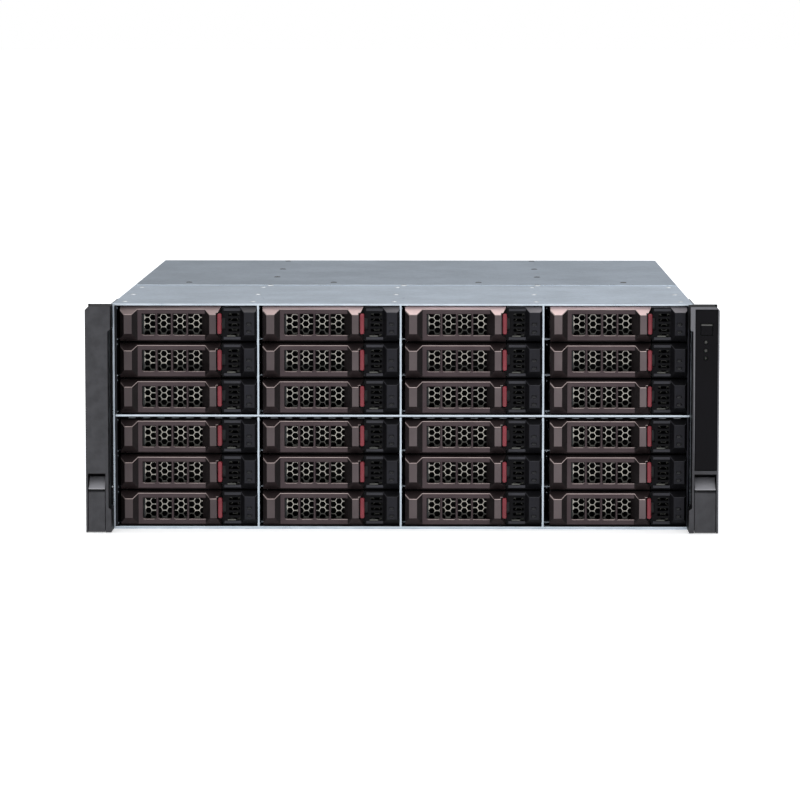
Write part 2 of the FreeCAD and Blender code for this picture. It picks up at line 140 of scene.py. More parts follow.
# blotch and grain: coarse and fine texture per metre. stretch: how far the grain is drawn out per axis.
# rough: from shiny to dull over the blotches. shine: strength of the highlights. cells: spangle of the
# zinc, per metre. fade: painted shade, darker towards the shelf's left end: how much of the tone is left
# there, all of it at fadeEnd in x; on the lit finishes it fades their painted light the same way.
plainFinish = {"stretch": (1, 1, 1), "metal": 0.0, "shine": 0.5, "cells": 0, "fade": 1.0, "fadeEnd": 0.24}
finishKinds = {
    "sheet": {"blotch": 22, "grain": 1500, "stretch": (0.12, 1, 1), "rough": (0.43, 0.46), "metal": 1.0,
        "bump": 0.04, "cells": 300},
    "edge": {"blotch": 60, "grain": 2200, "stretch": (1, 1, 0.4), "rough": (0.4, 0.5), "metal": 1.0,
        "bump": 0.05},
    "screen": {"blotch": 90, "grain": 2500, "stretch": (0.2, 1, 1), "rough": (0.4, 0.5), "metal": 0.85,
        "bump": 0.05},
    "fastener": {"blotch": 400, "grain": 3000, "rough": (0.3, 0.42), "metal": 1.0, "bump": 0.04},
    "paint": {"blotch": 35, "grain": 3200, "rough": (0.36, 0.44), "metal": 0.9, "bump": 0.1},
    "plastic": {"blotch": 50, "grain": 3000, "rough": (0.5, 0.6), "bump": 0.1},
    "textured": {"blotch": 26, "grain": 2600, "rough": (0.34, 0.46), "bump": 0.22},
    "smooth": {"blotch": 20, "grain": 2600, "rough": (0.3, 0.4), "bump": 0.05},
}
# kind, the dark and the light tone that blotches blend between, and what differs from the kind
finishLooks = {
    "coverZinc": ("sheet", (193, 205, 218), (213, 225, 239), {"fade": 0.85}),
    "rearZinc": ("sheet", (162, 174, 187), (184, 195, 208), {"blotch": 18, "cells": 260, "fade": 0.8}),
    "caseZinc": ("sheet", (140, 149, 157), (164, 172, 180), {"blotch": 30, "grain": 1300,
        "stretch": (1, 1, 0.3), "rough": (0.34, 0.48), "bump": 0.06}),
    # painted highlight: brighter zinc for the front edges, the cover's rolled edge, the hem and the dimples
    "highlightZinc": ("edge", (178, 189, 199), (208, 218, 227), {"rough": (0.26, 0.4)}),
    "screenSteel": ("screen", (150, 148, 142), (216, 212, 202), {"rough": (0.3, 0.5)}),
    # painted shade on the screen's lower part and behind the vented block; the next one darker still
    "screenDimShade": ("screen", (70, 71, 69), (104, 104, 99), {}),
    "screenShade": ("screen", (52, 54, 56), (76, 79, 80), {}),
    "edgeShade": ("edge", (36, 38, 42), (46, 48, 52), {"metal": 0.9}),
    "rivetZinc": ("fastener", (190, 196, 200), (222, 226, 228), {}),
    "railSteel": ("edge", (138, 142, 146), (172, 176, 180), {"grain": 1800, "stretch": (1, 0.15, 1),
        "rough": (0.3, 0.45), "bump": 0.06}),
    "handlePaint": ("paint", (98, 88, 90), (114, 104, 105), {"rough": (0.34, 0.42), "fade": 0.5}),
    # painted shade on the handle's set-back strip between its columns
    "handleStripShade": ("paint", (66, 56, 59), (80, 70, 72), {}),
    # painted shade on the handle's slopes; on the top row the upward ones are painted light instead
    "handleSlopeShade": ("paint", (38, 31, 32), (47, 39, 40), {}),
    # painted light on the top row's upward slopes and on the band above its strip
    "handleTopLit": ("paint", (177, 151, 150), (200, 173, 171), {"fade": 0.15, "fadeEnd": 0.0}),
    "handleBandLit": ("paint", (203, 178, 176), (223, 197, 195), {"metal": 0.35, "fade": 0.11,
        "fadeEnd": 0.0}),
    # painted shade on the handle's flanks
    "handleFlankShade": ("textured", (21, 17, 18), (32, 27, 28), {"blotch": 35, "stretch": (6, 6, 0.02),
        "rough": (0.42, 0.55), "metal": 0.2, "shine": 0.2, "bump": 0.35}),
    "handleShade": ("plastic", (31, 26, 27), (40, 34, 35), {"blotch": 35, "grain": 2600, "shine": 0.12,
        "fade": 0.35, "fadeEnd": 0.1}),
    # painted highlight on the handle's upper ridges and window sills
    "handleEdgeHighlight": ("smooth", (138, 124, 123), (174, 159, 157), {"blotch": 80, "rough": (0.28, 0.4),
        "metal": 0.9, "fade": 0.75}),
    "blockPlastic": ("plastic", (9, 9, 12), (15, 15, 18), {"rough": (0.5, 0.62), "shine": 0.1}),
    # painted light on the block column's front face, then a painted highlight on the block's rims
    "blockColumnLit": ("plastic", (28, 28, 33), (35, 35, 41), {"shine": 0.15}),
    "blockRimHighlight": ("plastic", (46, 46, 51), (58, 58, 64), {"rough": (0.42, 0.52), "shine": 0.2}),
    # painted light on the top row's vented block slopes
    "blockTopLit": ("plastic", (112, 109, 113), (136, 132, 136), {"rough": (0.42, 0.52), "shine": 0.2,
        "fade": 0.1, "fadeEnd": 0.2}),
    "releaseRed": ("textured", (112, 29, 40), (129, 42, 53), {"blotch": 70, "grain": 2400, "bump": 0.08}),
    "lensSmoke": ("fastener", (14, 14, 17), (22, 23, 28), {"blotch": 900, "rough": (0.16, 0.3),
        "metal": 0.0, "shine": 0.3}),
    "earPlastic": ("textured", (40, 40, 44), (60, 60, 64), {"blotch": 120, "grain": 900,
        "rough": (0.42, 0.55), "shine": 0.4}),
    "leverPlastic": ("textured", (40, 40, 44), (58, 58, 62), {"blotch": 120, "grain": 900,
        "rough": (0.38, 0.5), "shine": 0.4}),
    # painted highlight on the lever's lip, then painted light on its slope
    "leverGlint": ("textured", (176, 176, 181), (196, 196, 200), {}),
    "leverRidgeLit": ("textured", (134, 134, 139), (152, 152, 157), {}),
    "earRim": ("textured", (92, 92, 97), (106, 106, 111), {"rough": (0.38, 0.5)}),
    "earShade": ("textured", (9, 9, 10), (15, 15, 17), {"rough": (0.5, 0.6), "shine": 0.15, "bump": 0.2}),
    "panelGloss": ("smooth", (11, 10, 13), (15, 14, 18), {"grain": 2200, "shine": 0.08}),
    # the panel's light pipes, and a painted highlight on the power key's top bevel
    "panelMarkAndHighlight": ("smooth", (52, 52, 51), (74, 74, 72), {"blotch": 400}),
    "blackSteel": ("textured", (9, 9, 10), (15, 15, 17), {"blotch": 40, "rough": (0.4, 0.55), "shine": 0.15,
        "bump": 0.2}),
    "brightFastener": ("fastener", (205, 206, 204), (246, 245, 240), {"rough": (0.16, 0.3)}),
    "darkFastener": ("fastener", (74, 77, 80), (106, 109, 112), {"rough": (0.28, 0.42), "bump": 0.05}),
    "driveCast": ("paint", (92, 95, 98), (122, 125, 128), {"blotch": 60, "grain": 1600,
        "rough": (0.42, 0.58), "bump": 0.25}),
    "moduleZinc": ("sheet", (150, 155, 158), (176, 181, 184), {"blotch": 25, "grain": 1400,
        "stretch": (0.25, 1, 1), "rough": (0.32, 0.46), "bump": 0.06, "cells": 280}),
    # painted shade on the drive's front, seen through the screen
    "driveFrontShade": ("plastic", (8, 8, 9), (15, 15, 17), {"grain": 2400, "shine": 0.1}),
    "fanPlastic": ("plastic", (24, 24, 26), (36, 36, 39), {"grain": 2400, "rough": (0.36, 0.5),
        "bump": 0.12}),
    "boardGreen": ("plastic", (22, 66, 44), (40, 98, 66), {"blotch": 160, "grain": 1200,
        "stretch": (1, 1, 0.1), "rough": (0.3, 0.46), "bump": 0.2, "cells": 900}),
}


def makeFinish(name, kind, dark, light, own):
    look = {**plainFinish, **finishKinds[kind], **own}
    material = bpy.data.materials.new(name)
    material.use_nodes = True
    finish = Finish(material.node_tree)
    blotch = finish.spread(finish.noise(look["blotch"], 3.0), 0.3, 0.7)
    grain = finish.noise(look["grain"], 1.0, look["stretch"])
    tone = 0.75 * blotch + 0.25 * grain
    height = grain
    if look["cells"]:
        spangle = finish.node("ShaderNodeSeparateColor", None, {0: finish.cells(look["cells"])})
        tone = 0.5 * tone + 0.5 * spangle
        height = 0.7 * grain + 0.3 * spangle
    low, high = look["rough"]
    colour = finish.blend(tone, tint(*dark), tint(*light))
    # Painted shade: the colour darkens towards the shelf's left end, as if less light reached it there.
    if look["fade"] < 1:
        across = finish.node("ShaderNodeSeparateXYZ", None, {0: finish.here()})
        share = finish.spread(across, cadBounds[0].x, look["fadeEnd"], look["fade"], 1.0, "LINEAR")
        colour = finish.blend(share, (0, 0, 0, 1), colour)
    inputs = {
        "Base Color": colour,
        "Roughness": finish.spread(0.5 * blotch + 0.5 * grain, 0.2, 0.8, low, high),
        "Metallic": look["metal"],
        "Specular IOR Level": look["shine"],
        "Normal": finish.bump(height, look["bump"], 0.0002),
    }
    shader = finish.node("ShaderNodeBsdfPrincipled", None, inputs)
    finish.node("ShaderNodeOutputMaterial", None, {"Surface": shader})
    return material


finishes = {name: makeFinish(name, *look) for name, look in finishLooks.items()}
print("finishes:", len(finishes))


def addBox(bm, x0, x1, y0, y1, z0, z1):
    made = bmesh.ops.create_cube(bm, size=1)
    size = Matrix.Diagonal((x1 - x0, y1 - y0, z1 - z0, 1))
    place = Matrix.Translation(((x0 + x1) / 2, (y0 + y1) / 2, (z0 + z1) / 2))
    bmesh.ops.transform(bm, matrix=place @ size, verts=made["verts"])
    return made["verts"]


def boxMesh(*span):
    bm = bmesh.new()
    addBox(bm, *span)
    return bm


# Prism over an outline: (x, y) pairs when it stands along z, (x, z) pairs along y.
def addPrism(bm, outline, low, high, axis):
    upright = axis == "z"
    corners = [bm.verts.new((a, b, low) if upright else (a, low, b)) for a, b in outline]
    along = (0, 0, high - low) if upright else (0, high - low, 0)
    face = bm.faces.new(corners)
    made = bmesh.ops.extrude_face_region(bm, geom=[face])["geom"]
    far = [v for v in made if isinstance(v, bmesh.types.BMVert)]
    bmesh.ops.translate(bm, verts=far, vec=along)
    faces = {f for v in corners + far for f in v.link_faces}
    bmesh.ops.recalc_face_normals(bm, faces=list(faces))


def turnTo(axis):
    return Vector((0, 0, 1)).rotation_difference(Vector(axis))


# Turned shape: profile is (radius, height) pairs, spun about an axis through centre.
def addTurned(bm, profile, centre, axis, steps=16):
    turn = turnTo(axis).to_matrix()
    points = [bm.verts.new(Vector(centre) + turn @ Vector((r, 0, h))) for r, h in profile]
    edges = [bm.edges.new(pair) for pair in zip(points, points[1:])]
    bmesh.ops.spin(bm, geom=points + edges, cent=centre, axis=axis, dvec=(0, 0, 0),
                   angle=2 * math.pi, steps=steps, use_merge=True)


def scaled(profile, factor):
    return [(r * factor, h * factor) for r, h in profile]


# Everything joined to these corners.
def linked(verts):
    seen, waiting = set(), list(verts)
    while waiting:
        v = waiting.pop()
        if v in seen:
            continue
        seen.add(v)
        waiting += [e.other_vert(v) for e in v.link_edges]
    return list(seen)


def sharpEdges(bm, degrees=25, test=None):
    limit = math.radians(degrees)
    picked = []
    for edge in bm.edges:
        if len(edge.link_faces) == 2 and edge.calc_face_angle(0) > limit and (test is None or test(edge)):
            picked.append(edge)
    return picked


def bevelEdges(bm, edges, width, segments=2, clamp=True):
    return bmesh.ops.bevel(bm, geom=edges, offset=width, offset_type="OFFSET", segments=segments,
                           profile=0.5, affect="EDGES", material=-1, clamp_overlap=clamp)["faces"]


def soften(bm, width, segments=2, test=None, degrees=25):
    return bevelEdges(bm, sharpEdges(bm, degrees, test), width, segments)


# Tests that pick edges or faces: all in front of a place, or running along an axis.
def inFront(reach):
    return lambda part: all(v.co.y < reach for v in part.verts)


def runsAlong(axis, least=1):
    return lambda e: abs(getattr(e.verts[0].co - e.verts[1].co, axis)) > least


# Adds edges where a plane crosses the mesh, and with clear takes off what lies past it.
def scorePlane(bm, point, normal, near, clear=False):
    geometry = list(bm.verts) + list(bm.edges) + list(bm.faces)
    bmesh.ops.bisect_plane(bm, geom=geometry, dist=near, plane_co=point, plane_no=normal, clear_outer=clear)


# Takes off what lies on the normal's side of a plane, and closes the cut.
def sliceOff(bm, point, normal):
    scorePlane(bm, point, normal, 1e-5, True)
    bmesh.ops.holes_fill(bm, edges=[e for e in bm.edges if e.is_boundary], sides=0)
    bmesh.ops.recalc_face_normals(bm, faces=bm.faces)


# Cuts one mesh out of another with the Boolean modifier.
def cutOut(bm, other):
    objects = []
    for source in (bm, other):
        mesh = bpy.data.meshes.new("part")
        source.to_mesh(mesh)
        thing = bpy.data.objects.new("part", mesh)
        bpy.context.scene.collection.objects.link(thing)
        objects.append(thing)
    cut = objects[0].modifiers.new("cut", "BOOLEAN")
    cut.object, cut.operation, cut.solver = objects[1], "DIFFERENCE", "EXACT"
    depsgraph = bpy.context.evaluated_depsgraph_get()
    result = bmesh.new()
    result.from_object(objects[0], depsgraph)
    for thing in objects:
        mesh = thing.data
        bpy.data.objects.remove(thing)
        bpy.data.meshes.remove(mesh)
    bmesh.ops.remove_doubles(result, verts=result.verts, dist=1e-6)
    return result


# Each face with its normal and its middle.
def facesOf(bm):
    for face in bm.faces:
        yield face, face.normal, face.calc_center_median()


def paintFaces(bm, index, test=lambda face: True):
    for face in bm.faces:
        if test(face):
            face.material_index = index


# Adds another mesh, first painted with one finish where paint is given.
def merge(bm, other, paint=None):
    if paint is not None:
        paintFaces(other, paint)
    mesh = bpy.data.meshes.new("joined")
    other.to_mesh(mesh)
    bm.from_mesh(mesh)
    bpy.data.meshes.remove(mesh)


def asMesh(bm, name, smooth=0):
    for face in bm.faces:
        face.smooth = smooth > 0
    if smooth:
        for edge in bm.edges:
            if len(edge.link_faces) == 2:
                edge.smooth = edge.calc_face_angle(0) < math.radians(smooth)
    mesh = bpy.data.meshes.new(name)
    bm.to_mesh(mesh)
    return mesh


# One piece: its mesh in place, its finishes and the body it rides on. slot: the slot it stands for, not
# used.
def makePiece(name, mesh, looks, body, slot, stands=(), place=None):
    if place is not None:
        mesh = mesh.copy()
        mesh.transform(place)
    mesh.name = name
    for look in looks:
        mesh.materials.append(finishes[look])
    piece = bpy.data.objects.new(name, mesh)
    bpy.context.scene.collection.objects.link(piece)
    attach(piece, body)
    if stands:
        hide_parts(*stands)


def addPiece(name, bm, looks, body, slot, stands=(), smooth=0):
    makePiece(name, asMesh(bm, name, smooth), looks, body, slot, stands)


def boxOf(bm):
    spans = list(zip(*[v.co for v in bm.verts]))
    return Vector([min(s) for s in spans]), Vector([max(s) for s in spans])


def boxVolume(bm):
    low, high = boxOf(bm)
    size = high - low
    return size.x * size.y * size.z


# A CAD node's mesh, merged into whole faces and split into its solids, the largest box first.
def solidsOf(node):
    bm = bmesh.new()
    bm.from_mesh(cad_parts[node].data)
    bmesh.ops.remove_doubles(bm, verts=bm.verts, dist=1e-6)
    left, groups = set(bm.verts), []
    while left:
        group = linked([next(iter(left))])
        left -= set(group)
        groups.append([v.index for v in group])
    solids = []
    for group in groups:
        solid = bm.copy()
        solid.verts.ensure_lookup_table()
        keep = set(group)
        bmesh.ops.delete(solid, geom=[v for v in solid.verts if v.index not in keep], context="VERTS")
        bmesh.ops.dissolve_limit(solid, angle_limit=math.radians(1), verts=solid.verts, edges=solid.edges)
        solids.append(solid)
    return sorted(solids, key=boxVolume, reverse=True)


def centresOf(node):
    return [sum(boxOf(solid), Vector()) / 2 for solid in solidsOf(node)]


# Softened copy of a CAD node whose solids all share one finish.
def softened(node, width, segments=2, test=None):
    whole = bmesh.new()
    for solid in solidsOf(node):
        soften(solid, width, segments, test)
        merge(whole, solid)
    return whole


# Piece that is a CAD node with softened edges. width is in millimetres.
def dressNode(name, node, looks, body, slot, width, paint=None, segments=2, test=None):
    bm = softened(node, width * mm, segments, test)
    bm.normal_update()
    if paint:
        paint(bm)
    addPiece(name, bm, looks, body, slot, (node,))


# Columns of hexagonal prisms from u0 on, where a column falls inside one of the spans.
def hexField(u0, spans, v0, v1, y0, y1, flats, web):
    bm = bmesh.new()
    pitch = flats + web
    step = pitch * math.cos(math.pi / 6)
    corner = flats / 2 / math.cos(math.pi / 6)
    k = 0
    while u0 + k * step < spans[-1][1]:
        u = u0 + k * step
        v = v0 + (pitch / 2 if k % 2 else 0)
        while v < v1 and any(a <= u < b for a, b in spans):
            turns = [i * math.pi / 3 for i in range(6)]
            addPrism(bm, [(u + corner * math.cos(t), v + corner * math.sin(t)) for t in turns], y0, y1, "y")
            v += pitch
        k += 1
    return bm


# Box with rounded corners across y.
def pill(bm, u, v, width, height, y0, y1, corner, segments=3):
    verts = addBox(bm, u - width / 2, u + width / 2, y0, y1, v - height / 2, v + height / 2)
    edges = {e for vert in verts for e in vert.link_edges}
    bevelEdges(bm, list(filter(runsAlong("y", 1e-4), edges)), corner, segments)


# Drive carriers, in millimetres from a carrier's lower left corner: u across, y to the rear, v up.
# leaningWindow: left, right in front, right behind. knuckleRoom: right, low, high.
handleShape = {
    "foot": 2.2, "back": 5.0, "columnRise": 5.7, "bodyRise": 1.8, "cornerRise": 2.5, "height": 26.6,
    "end": 77.3, "topSlope": (0, -1, 1), "lowSlope": (0, -4.9, -3.9),
    "leftColumn": (3.1, 9.1), "body": (13.3, 65.0), "rightColumn": (68.6, 74.0),
    "windows": (16.9, 28.8, 40.7), "windowWidth": 9.8, "windowLow": 4.7, "windowHigh": 20.8,
    "windowCorner": 1.4, "leaningWindow": (52.4, 70.5, 61.8), "notchLeft": 73.7, "notchHalf": 8.6,
    "knuckleRoom": (5.8, 8.7, 17.9), "pin": (3.2, 2.6), "pinRadius": 0.9, "pinSpan": (7.2, 19.4),
    "edge": 0.5, "fineEdge": 0.18, "topDrop": 0.4, "lowEdge": 1.0, "lip": 0.45,
    "sill": (3.9, 6.2), "band": (13, 65), "shadedEnds": (3.8, 76), "frontHalf": 1.9,
}


def buildHandle(shape):
    foot, back, height = shape["foot"], shape["back"], shape["height"]
    column = foot - shape["columnRise"]
    body = foot - shape["bodyRise"]
    bodyLeft, bodyRight = shape["body"]
    across = [(0, back), (0, foot - shape["cornerRise"])]
    across += [(u, column) for u in shape["leftColumn"]] + [(bodyLeft, body), (bodyRight, body)]
    across += [(u, column) for u in shape["rightColumn"]] + [(shape["end"], foot), (shape["end"], back)]
    bm = bmesh.new()
    addPrism(bm, across, 0, height, "z")
    sliceOff(bm, (0, foot, height - shape["topDrop"]), shape["topSlope"])
    sliceOff(bm, (0, body, shape["lowEdge"]), shape["lowSlope"])
    cutter = bmesh.new()
    before, behind = -6, back + 1
    low, high = shape["windowLow"], shape["windowHigh"]
    for left in shape["windows"]:
        verts = addBox(cutter, left, left + shape["windowWidth"], before, behind, low, high)
        roundWindow(cutter, verts, low, shape["windowCorner"])
    left, right, rightBehind = shape["leaningWindow"]
    lean = [(left, before), (right, before), (rightBehind, behind), (left, behind)]
    addPrism(cutter, lean, low, high, "z")
    notch = shape["notchHalf"]
    addBox(cutter, shape["notchLeft"], 80, before, behind, height / 2 - notch, height / 2 + notch)
    roomEnd, roomLow, roomHigh = shape["knuckleRoom"]
    addBox(cutter, -1, roomEnd, 0.2, behind, roomLow, roomHigh)
    bm = cutOut(bm, cutter)
    bm.normal_update()
    front = inFront(shape["frontHalf"])
    ridges = sharpEdges(bm, 20, lambda e: any(0.3 < f.normal.z < 0.95 for f in e.link_faces)
                        and front(e) and e.calc_length() > 0.6)
    rims = set(bevelEdges(bm, ridges, shape["edge"], 2, clamp=False))

    def onOpening(v):
        return low - 0.05 < v.co.z < high + 0.05 and abs(v.co.y - body) < 0.05 and v.co.x > 15
    lips = [e for e in bm.edges if e.calc_face_angle(0) > 0.3 and all(onOpening(v) for v in e.verts)]
    bevelEdges(bm, lips, shape["lip"], 1, clamp=False)
    bmesh.ops.remove_doubles(bm, verts=bm.verts, dist=0.01)
    bm.normal_update()
    others = sharpEdges(bm, 30, lambda e: front(e) and e.calc_length() > 1
                        and not rims.intersection(e.link_faces) and not all(v.co.x < 6 for v in e.verts))
    bevelEdges(bm, others, shape["fineEdge"], 1)
    radius = shape["pinRadius"]
    addTurned(bm, [(radius, z) for z in shape["pinSpan"]], (*shape["pin"], 0), (0, 0, 1), 12)
    bm.normal_update()
    paintHandle(bm, rims, shape)
    return bm


# Rounds a window's two lower corners.
def roundWindow(bm, verts, low, corner):
    edges = {e for v in verts for e in v.link_edges}
    foot = [e for e in edges if all(abs(v.co.z - low) < 0.01 for v in e.verts)]
    bevelEdges(bm, list(filter(runsAlong("y"), foot)), corner, 3)


# Columns in the plain paint. Painted shade on the strip between them, on the slopes and on the flanks, and
# a painted highlight line on the upper ridges and on the windows' sills; on the top row the upward slopes
# are painted light instead.
def paintHandle(bm, rims, shape):
    column = shape["foot"] - shape["columnRise"]
    sillLow, sillHigh = shape["sill"]
    bandLeft, bandRight = shape["band"]
    leftEnd, rightEnd = shape["shadedEnds"]
    for face, normal, middle in facesOf(bm):
        sill = normal.z > 0.2 and sillLow < middle.z < sillHigh and abs(normal.x) < 0.9
        if face in rims or sill:
            face.material_index = 1
        elif abs(normal.x) > 0.3:
            face.material_index = 5 if leftEnd <= middle.x <= rightEnd else 6
        elif normal.z > 0.3:
            face.material_index = 7 if bandLeft < middle.x < bandRight else 3
        elif normal.z < -0.3:
            face.material_index = 4
        elif middle.y > column + 0.5:
            face.material_index = 2


screenShape = {
    "front": 7.0, "thickness": 0.8, "width": 104.6, "low": 1.6, "high": 25.0,
    "firstHoleU": 20.4, "firstHoleV": 5.71, "holeHigh": 22.4, "holeFlats": 4.3, "web": 0.54,
    "fields": ((20.0, 66.0), (82.0, 94.0)), "border": 18.0, "latchSide": (73.0, 82.0), "dimBelow": 9.8,
    "railEnd": 191.0, "railWall": 1.5, "railCorner": 3.0, "railSlots": (24, 66, 108, 150),
    "slotLength": 22, "slotSpan": (10.2, 16.4), "slotCorner": 2.6,
    "screws": (58, 160), "screwV": 8.0, "knuckle": (9.0, 17.6), "boreRadius": 1.2,
    "screwHead": ((0, 0.5), (1.8, 0.45), (2.4, 0.0), (2.4, -0.4)),
    "spring": ((0.0, 8.2), (-0.9, 10.7), (-1.1, 13.7), (-0.6, 16.7), (0.0, 18.7), (0.0, 18.2),
               (-0.3, 16.4), (-0.8, 13.7), (-0.6, 11.0), (0.0, 9.0)),
    "springHeight": (9.6, 16.8), "tab": (82.0, 88.4, 0.1, 0.45, 3.6, 4.6),
}


def buildSled(shape):
    front, width = shape["front"], shape["width"]
    back = front + shape["thickness"]
    low, high = shape["low"], shape["high"]
    bm = boxMesh(0, width, front, back, low, high)
    bm = cutOut(bm, hexField(shape["firstHoleU"], shape["fields"], shape["firstHoleV"], shape["holeHigh"],
                             front - 1, front + 2, shape["holeFlats"], shape["web"]))
    latchLeft, latchRight = shape["latchSide"]
    for u in (shape["border"], latchLeft, latchRight):
        scorePlane(bm, (u, 0, 0), (1, 0, 0), 1e-4)
    scorePlane(bm, (0, 0, shape["dimBelow"]), (0, 0, 1), 1e-4)
    # Painted shade: the solid left border and the strip beside the latch take the darkest steel, the lower
    # part and the field behind the vented block a dimmer steel.
    for face, _, middle in facesOf(bm):
        shaded = middle.x < shape["border"] or latchLeft < middle.x < latchRight
        dim = middle.z < shape["dimBelow"] or middle.x > latchRight
        face.material_index = 3 if shaded else 2 if dim else 1
    rails, slots = bmesh.new(), bmesh.new()
    for left in (0, width - shape["railWall"]):
        right = left + shape["railWall"]
        addBox(rails, left, right, back, shape["railEnd"], low, high)
        for y in shape["railSlots"]:
            addBox(slots, left - 1, right + 1, y, y + shape["slotLength"], *shape["slotSpan"])
    soften(slots, shape["slotCorner"], 3, runsAlong("x"))
    rails = cutOut(rails, slots)
    ends = [e for e in sharpEdges(rails, 25, runsAlong("x")) if e.verts[0].co.y > shape["railEnd"] - 1]
    bevelEdges(rails, ends, shape["railCorner"], 3)
    merge(bm, rails)
    for y in shape["screws"]:
        for x, side in ((0.0, -1), (width, 1)):
            addTurned(bm, shape["screwHead"], (x, y, shape["screwV"]), (side, 0, 0), 12)
    merge(bm, buildKnuckle(front, *shape["knuckle"], shape["boreRadius"]))
    bright = bmesh.new()
    addPrism(bright, shape["spring"], *shape["springHeight"], "z")
    addBox(bright, *shape["tab"])  # folded over the vented block
    # the spring and the tab take the dimmer steel of that painted shade
    merge(bm, bright, 2)
    return bm


# Nose on the sled that carries the handle's pin.
def buildKnuckle(front, low, high, radius):
    nose = [(1.3, front), (1.3, 1.8), (2.3, 0.6), (4.1, 0.6), (5.1, 1.8), (5.1, front)]
    knuckle, bore = bmesh.new(), bmesh.new()
    addPrism(knuckle, nose, low, high, "z")
    profile = [(0, low - 1), (radius, low - 1), (radius, high + 1.4), (0, high + 1.4)]
    addTurned(bore, profile, (*handleShape["pin"], 0), (0, 0, 1), 16)
    bmesh.ops.recalc_face_normals(bore, faces=bore.faces)
    return cutOut(knuckle, bore)


blockShape = {
    "start": 78.0, "end": 104.6, "height": 26.6, "back": 6.9, "foot": 2.2, "floor": 1.4, "floorEnd": 92.0,
    "endRise": 1.6, "topSlope": (0, -4.2, 5.7), "lowSlope": (0, -5.0, -5.7),
    "column": -3.5, "columnPart": 92.5, "columnLeft": 95.2, "columnRight": 103.2,
    "latchRoom": (80.5, 4.6), "slots": 5, "slotPitch": 3.95, "slotHeight": 2.2, "slotMiddle": 12.4,
    "slotSpan": (83.0, 91.4),
    "ribs": (1.3, 23.3), "ribSpan": (79.4, 92.4), "ribHeight": 2.0, "edge": 0.35,
    "lights": (13.4, 7.5), "lightU": 98.9, "lightWidth": 3.4, "lightHeight": 2.1,
}


def buildBlock(shape):
    start, end, height = shape["start"], shape["end"], shape["height"]
    floor, column, back = shape["floor"], shape["column"], shape["back"]
    across = [(start, back), (start, floor), (shape["floorEnd"], floor), (shape["columnLeft"], column),
              (shape["columnRight"], column), (end, column + shape["endRise"]), (end, back)]
    bm = bmesh.new()
    addPrism(bm, across, 0, height, "z")
    sliceOff(bm, (0, shape["foot"], height), shape["topSlope"])
    sliceOff(bm, (0, shape["foot"], 0), shape["lowSlope"])
    cutter = bmesh.new()
    roomEnd, half = shape["latchRoom"]
    addBox(cutter, start - 1, roomEnd, floor - 2, back + 1, height / 2 - half, height / 2 + half)
    left, right = shape["slotSpan"]
    for i in range(shape["slots"]):
        v = shape["slotMiddle"] + (i - (shape["slots"] - 1) / 2) * shape["slotPitch"]
        pill(cutter, (left + right) / 2, v, right - left, shape["slotHeight"], -4, back + 1, 0.7)
    wide, tall = shape["lightWidth"] + 0.5, shape["lightHeight"] + 0.5
    for v in shape["lights"]:
        pill(cutter, shape["lightU"], v, wide, tall, -5, column + 0.9, 0.8)
    bm = cutOut(bm, cutter)
    for v in shape["ribs"]:
        addBox(bm, *shape["ribSpan"], 0.5, floor + 0.4, v, v + shape["ribHeight"])
    rims = set(soften(bm, shape["edge"], 2, inFront(floor + 0.5), 20))
    bm.normal_update()
    # Painted light and shade: the column's front face lighter than the recessed floor, a painted highlight
    # on the column's up-facing rims and the ribs before the floor, and the column's upward slopes dark,
    # painted light on the top row.
    for face, normal, middle in facesOf(bm):
        onColumn = middle.x > shape["columnPart"]
        if middle.x > shape["columnPart"] + 1 and normal.y < -0.9:
            face.material_index = 1
        if onColumn and normal.z > 0.3 and face not in rims:
            face.material_index = 3
        if onColumn and normal.z > 0.2 and face in rims or not onColumn and middle.y < floor - 0.2:
            face.material_index = 2
    return bm


def buildLights(shape):
    front, width, height = shape["column"], shape["lightWidth"], shape["lightHeight"]
    bm = bmesh.new()
    for v in shape["lights"]:
        pill(bm, shape["lightU"], v, width, height, front + 0.15, front + 0.9, 0.7)
    soften(bm, 0.15, 2, inFront(front + 0.2), 50)
    return bm


releaseShape = {
    "left": 74.65, "right": 77.95, "middle": 13.6, "half": 7.9, "front": -3.2, "back": 1.0, "round": 1.2,
    "crown": 0.9, "stemEnd": 6.4, "stemHalf": 4, "stemInset": 0.8,
}


def buildRelease(shape):
    bm = bmesh.new()
    left, right, middle = shape["left"], shape["right"], shape["middle"]
    front, back = shape["front"], shape["back"]
    pill(bm, (left + right) / 2, middle, right - left, 2 * shape["half"], front, back, shape["round"], 4)
    soften(bm, shape["crown"], 4, inFront(front + 0.01), 60)
    inset, half = shape["stemInset"], shape["stemHalf"]
    addBox(bm, left + inset, right - inset, back - 0.1, shape["stemEnd"], middle - half, middle + half)
    return bm


driveShape = {
    "left": 1.5, "right": 103.1, "low": 0.3, "high": 26.3, "start": 42.0, "length": 147.0, "edge": 1.2,
}


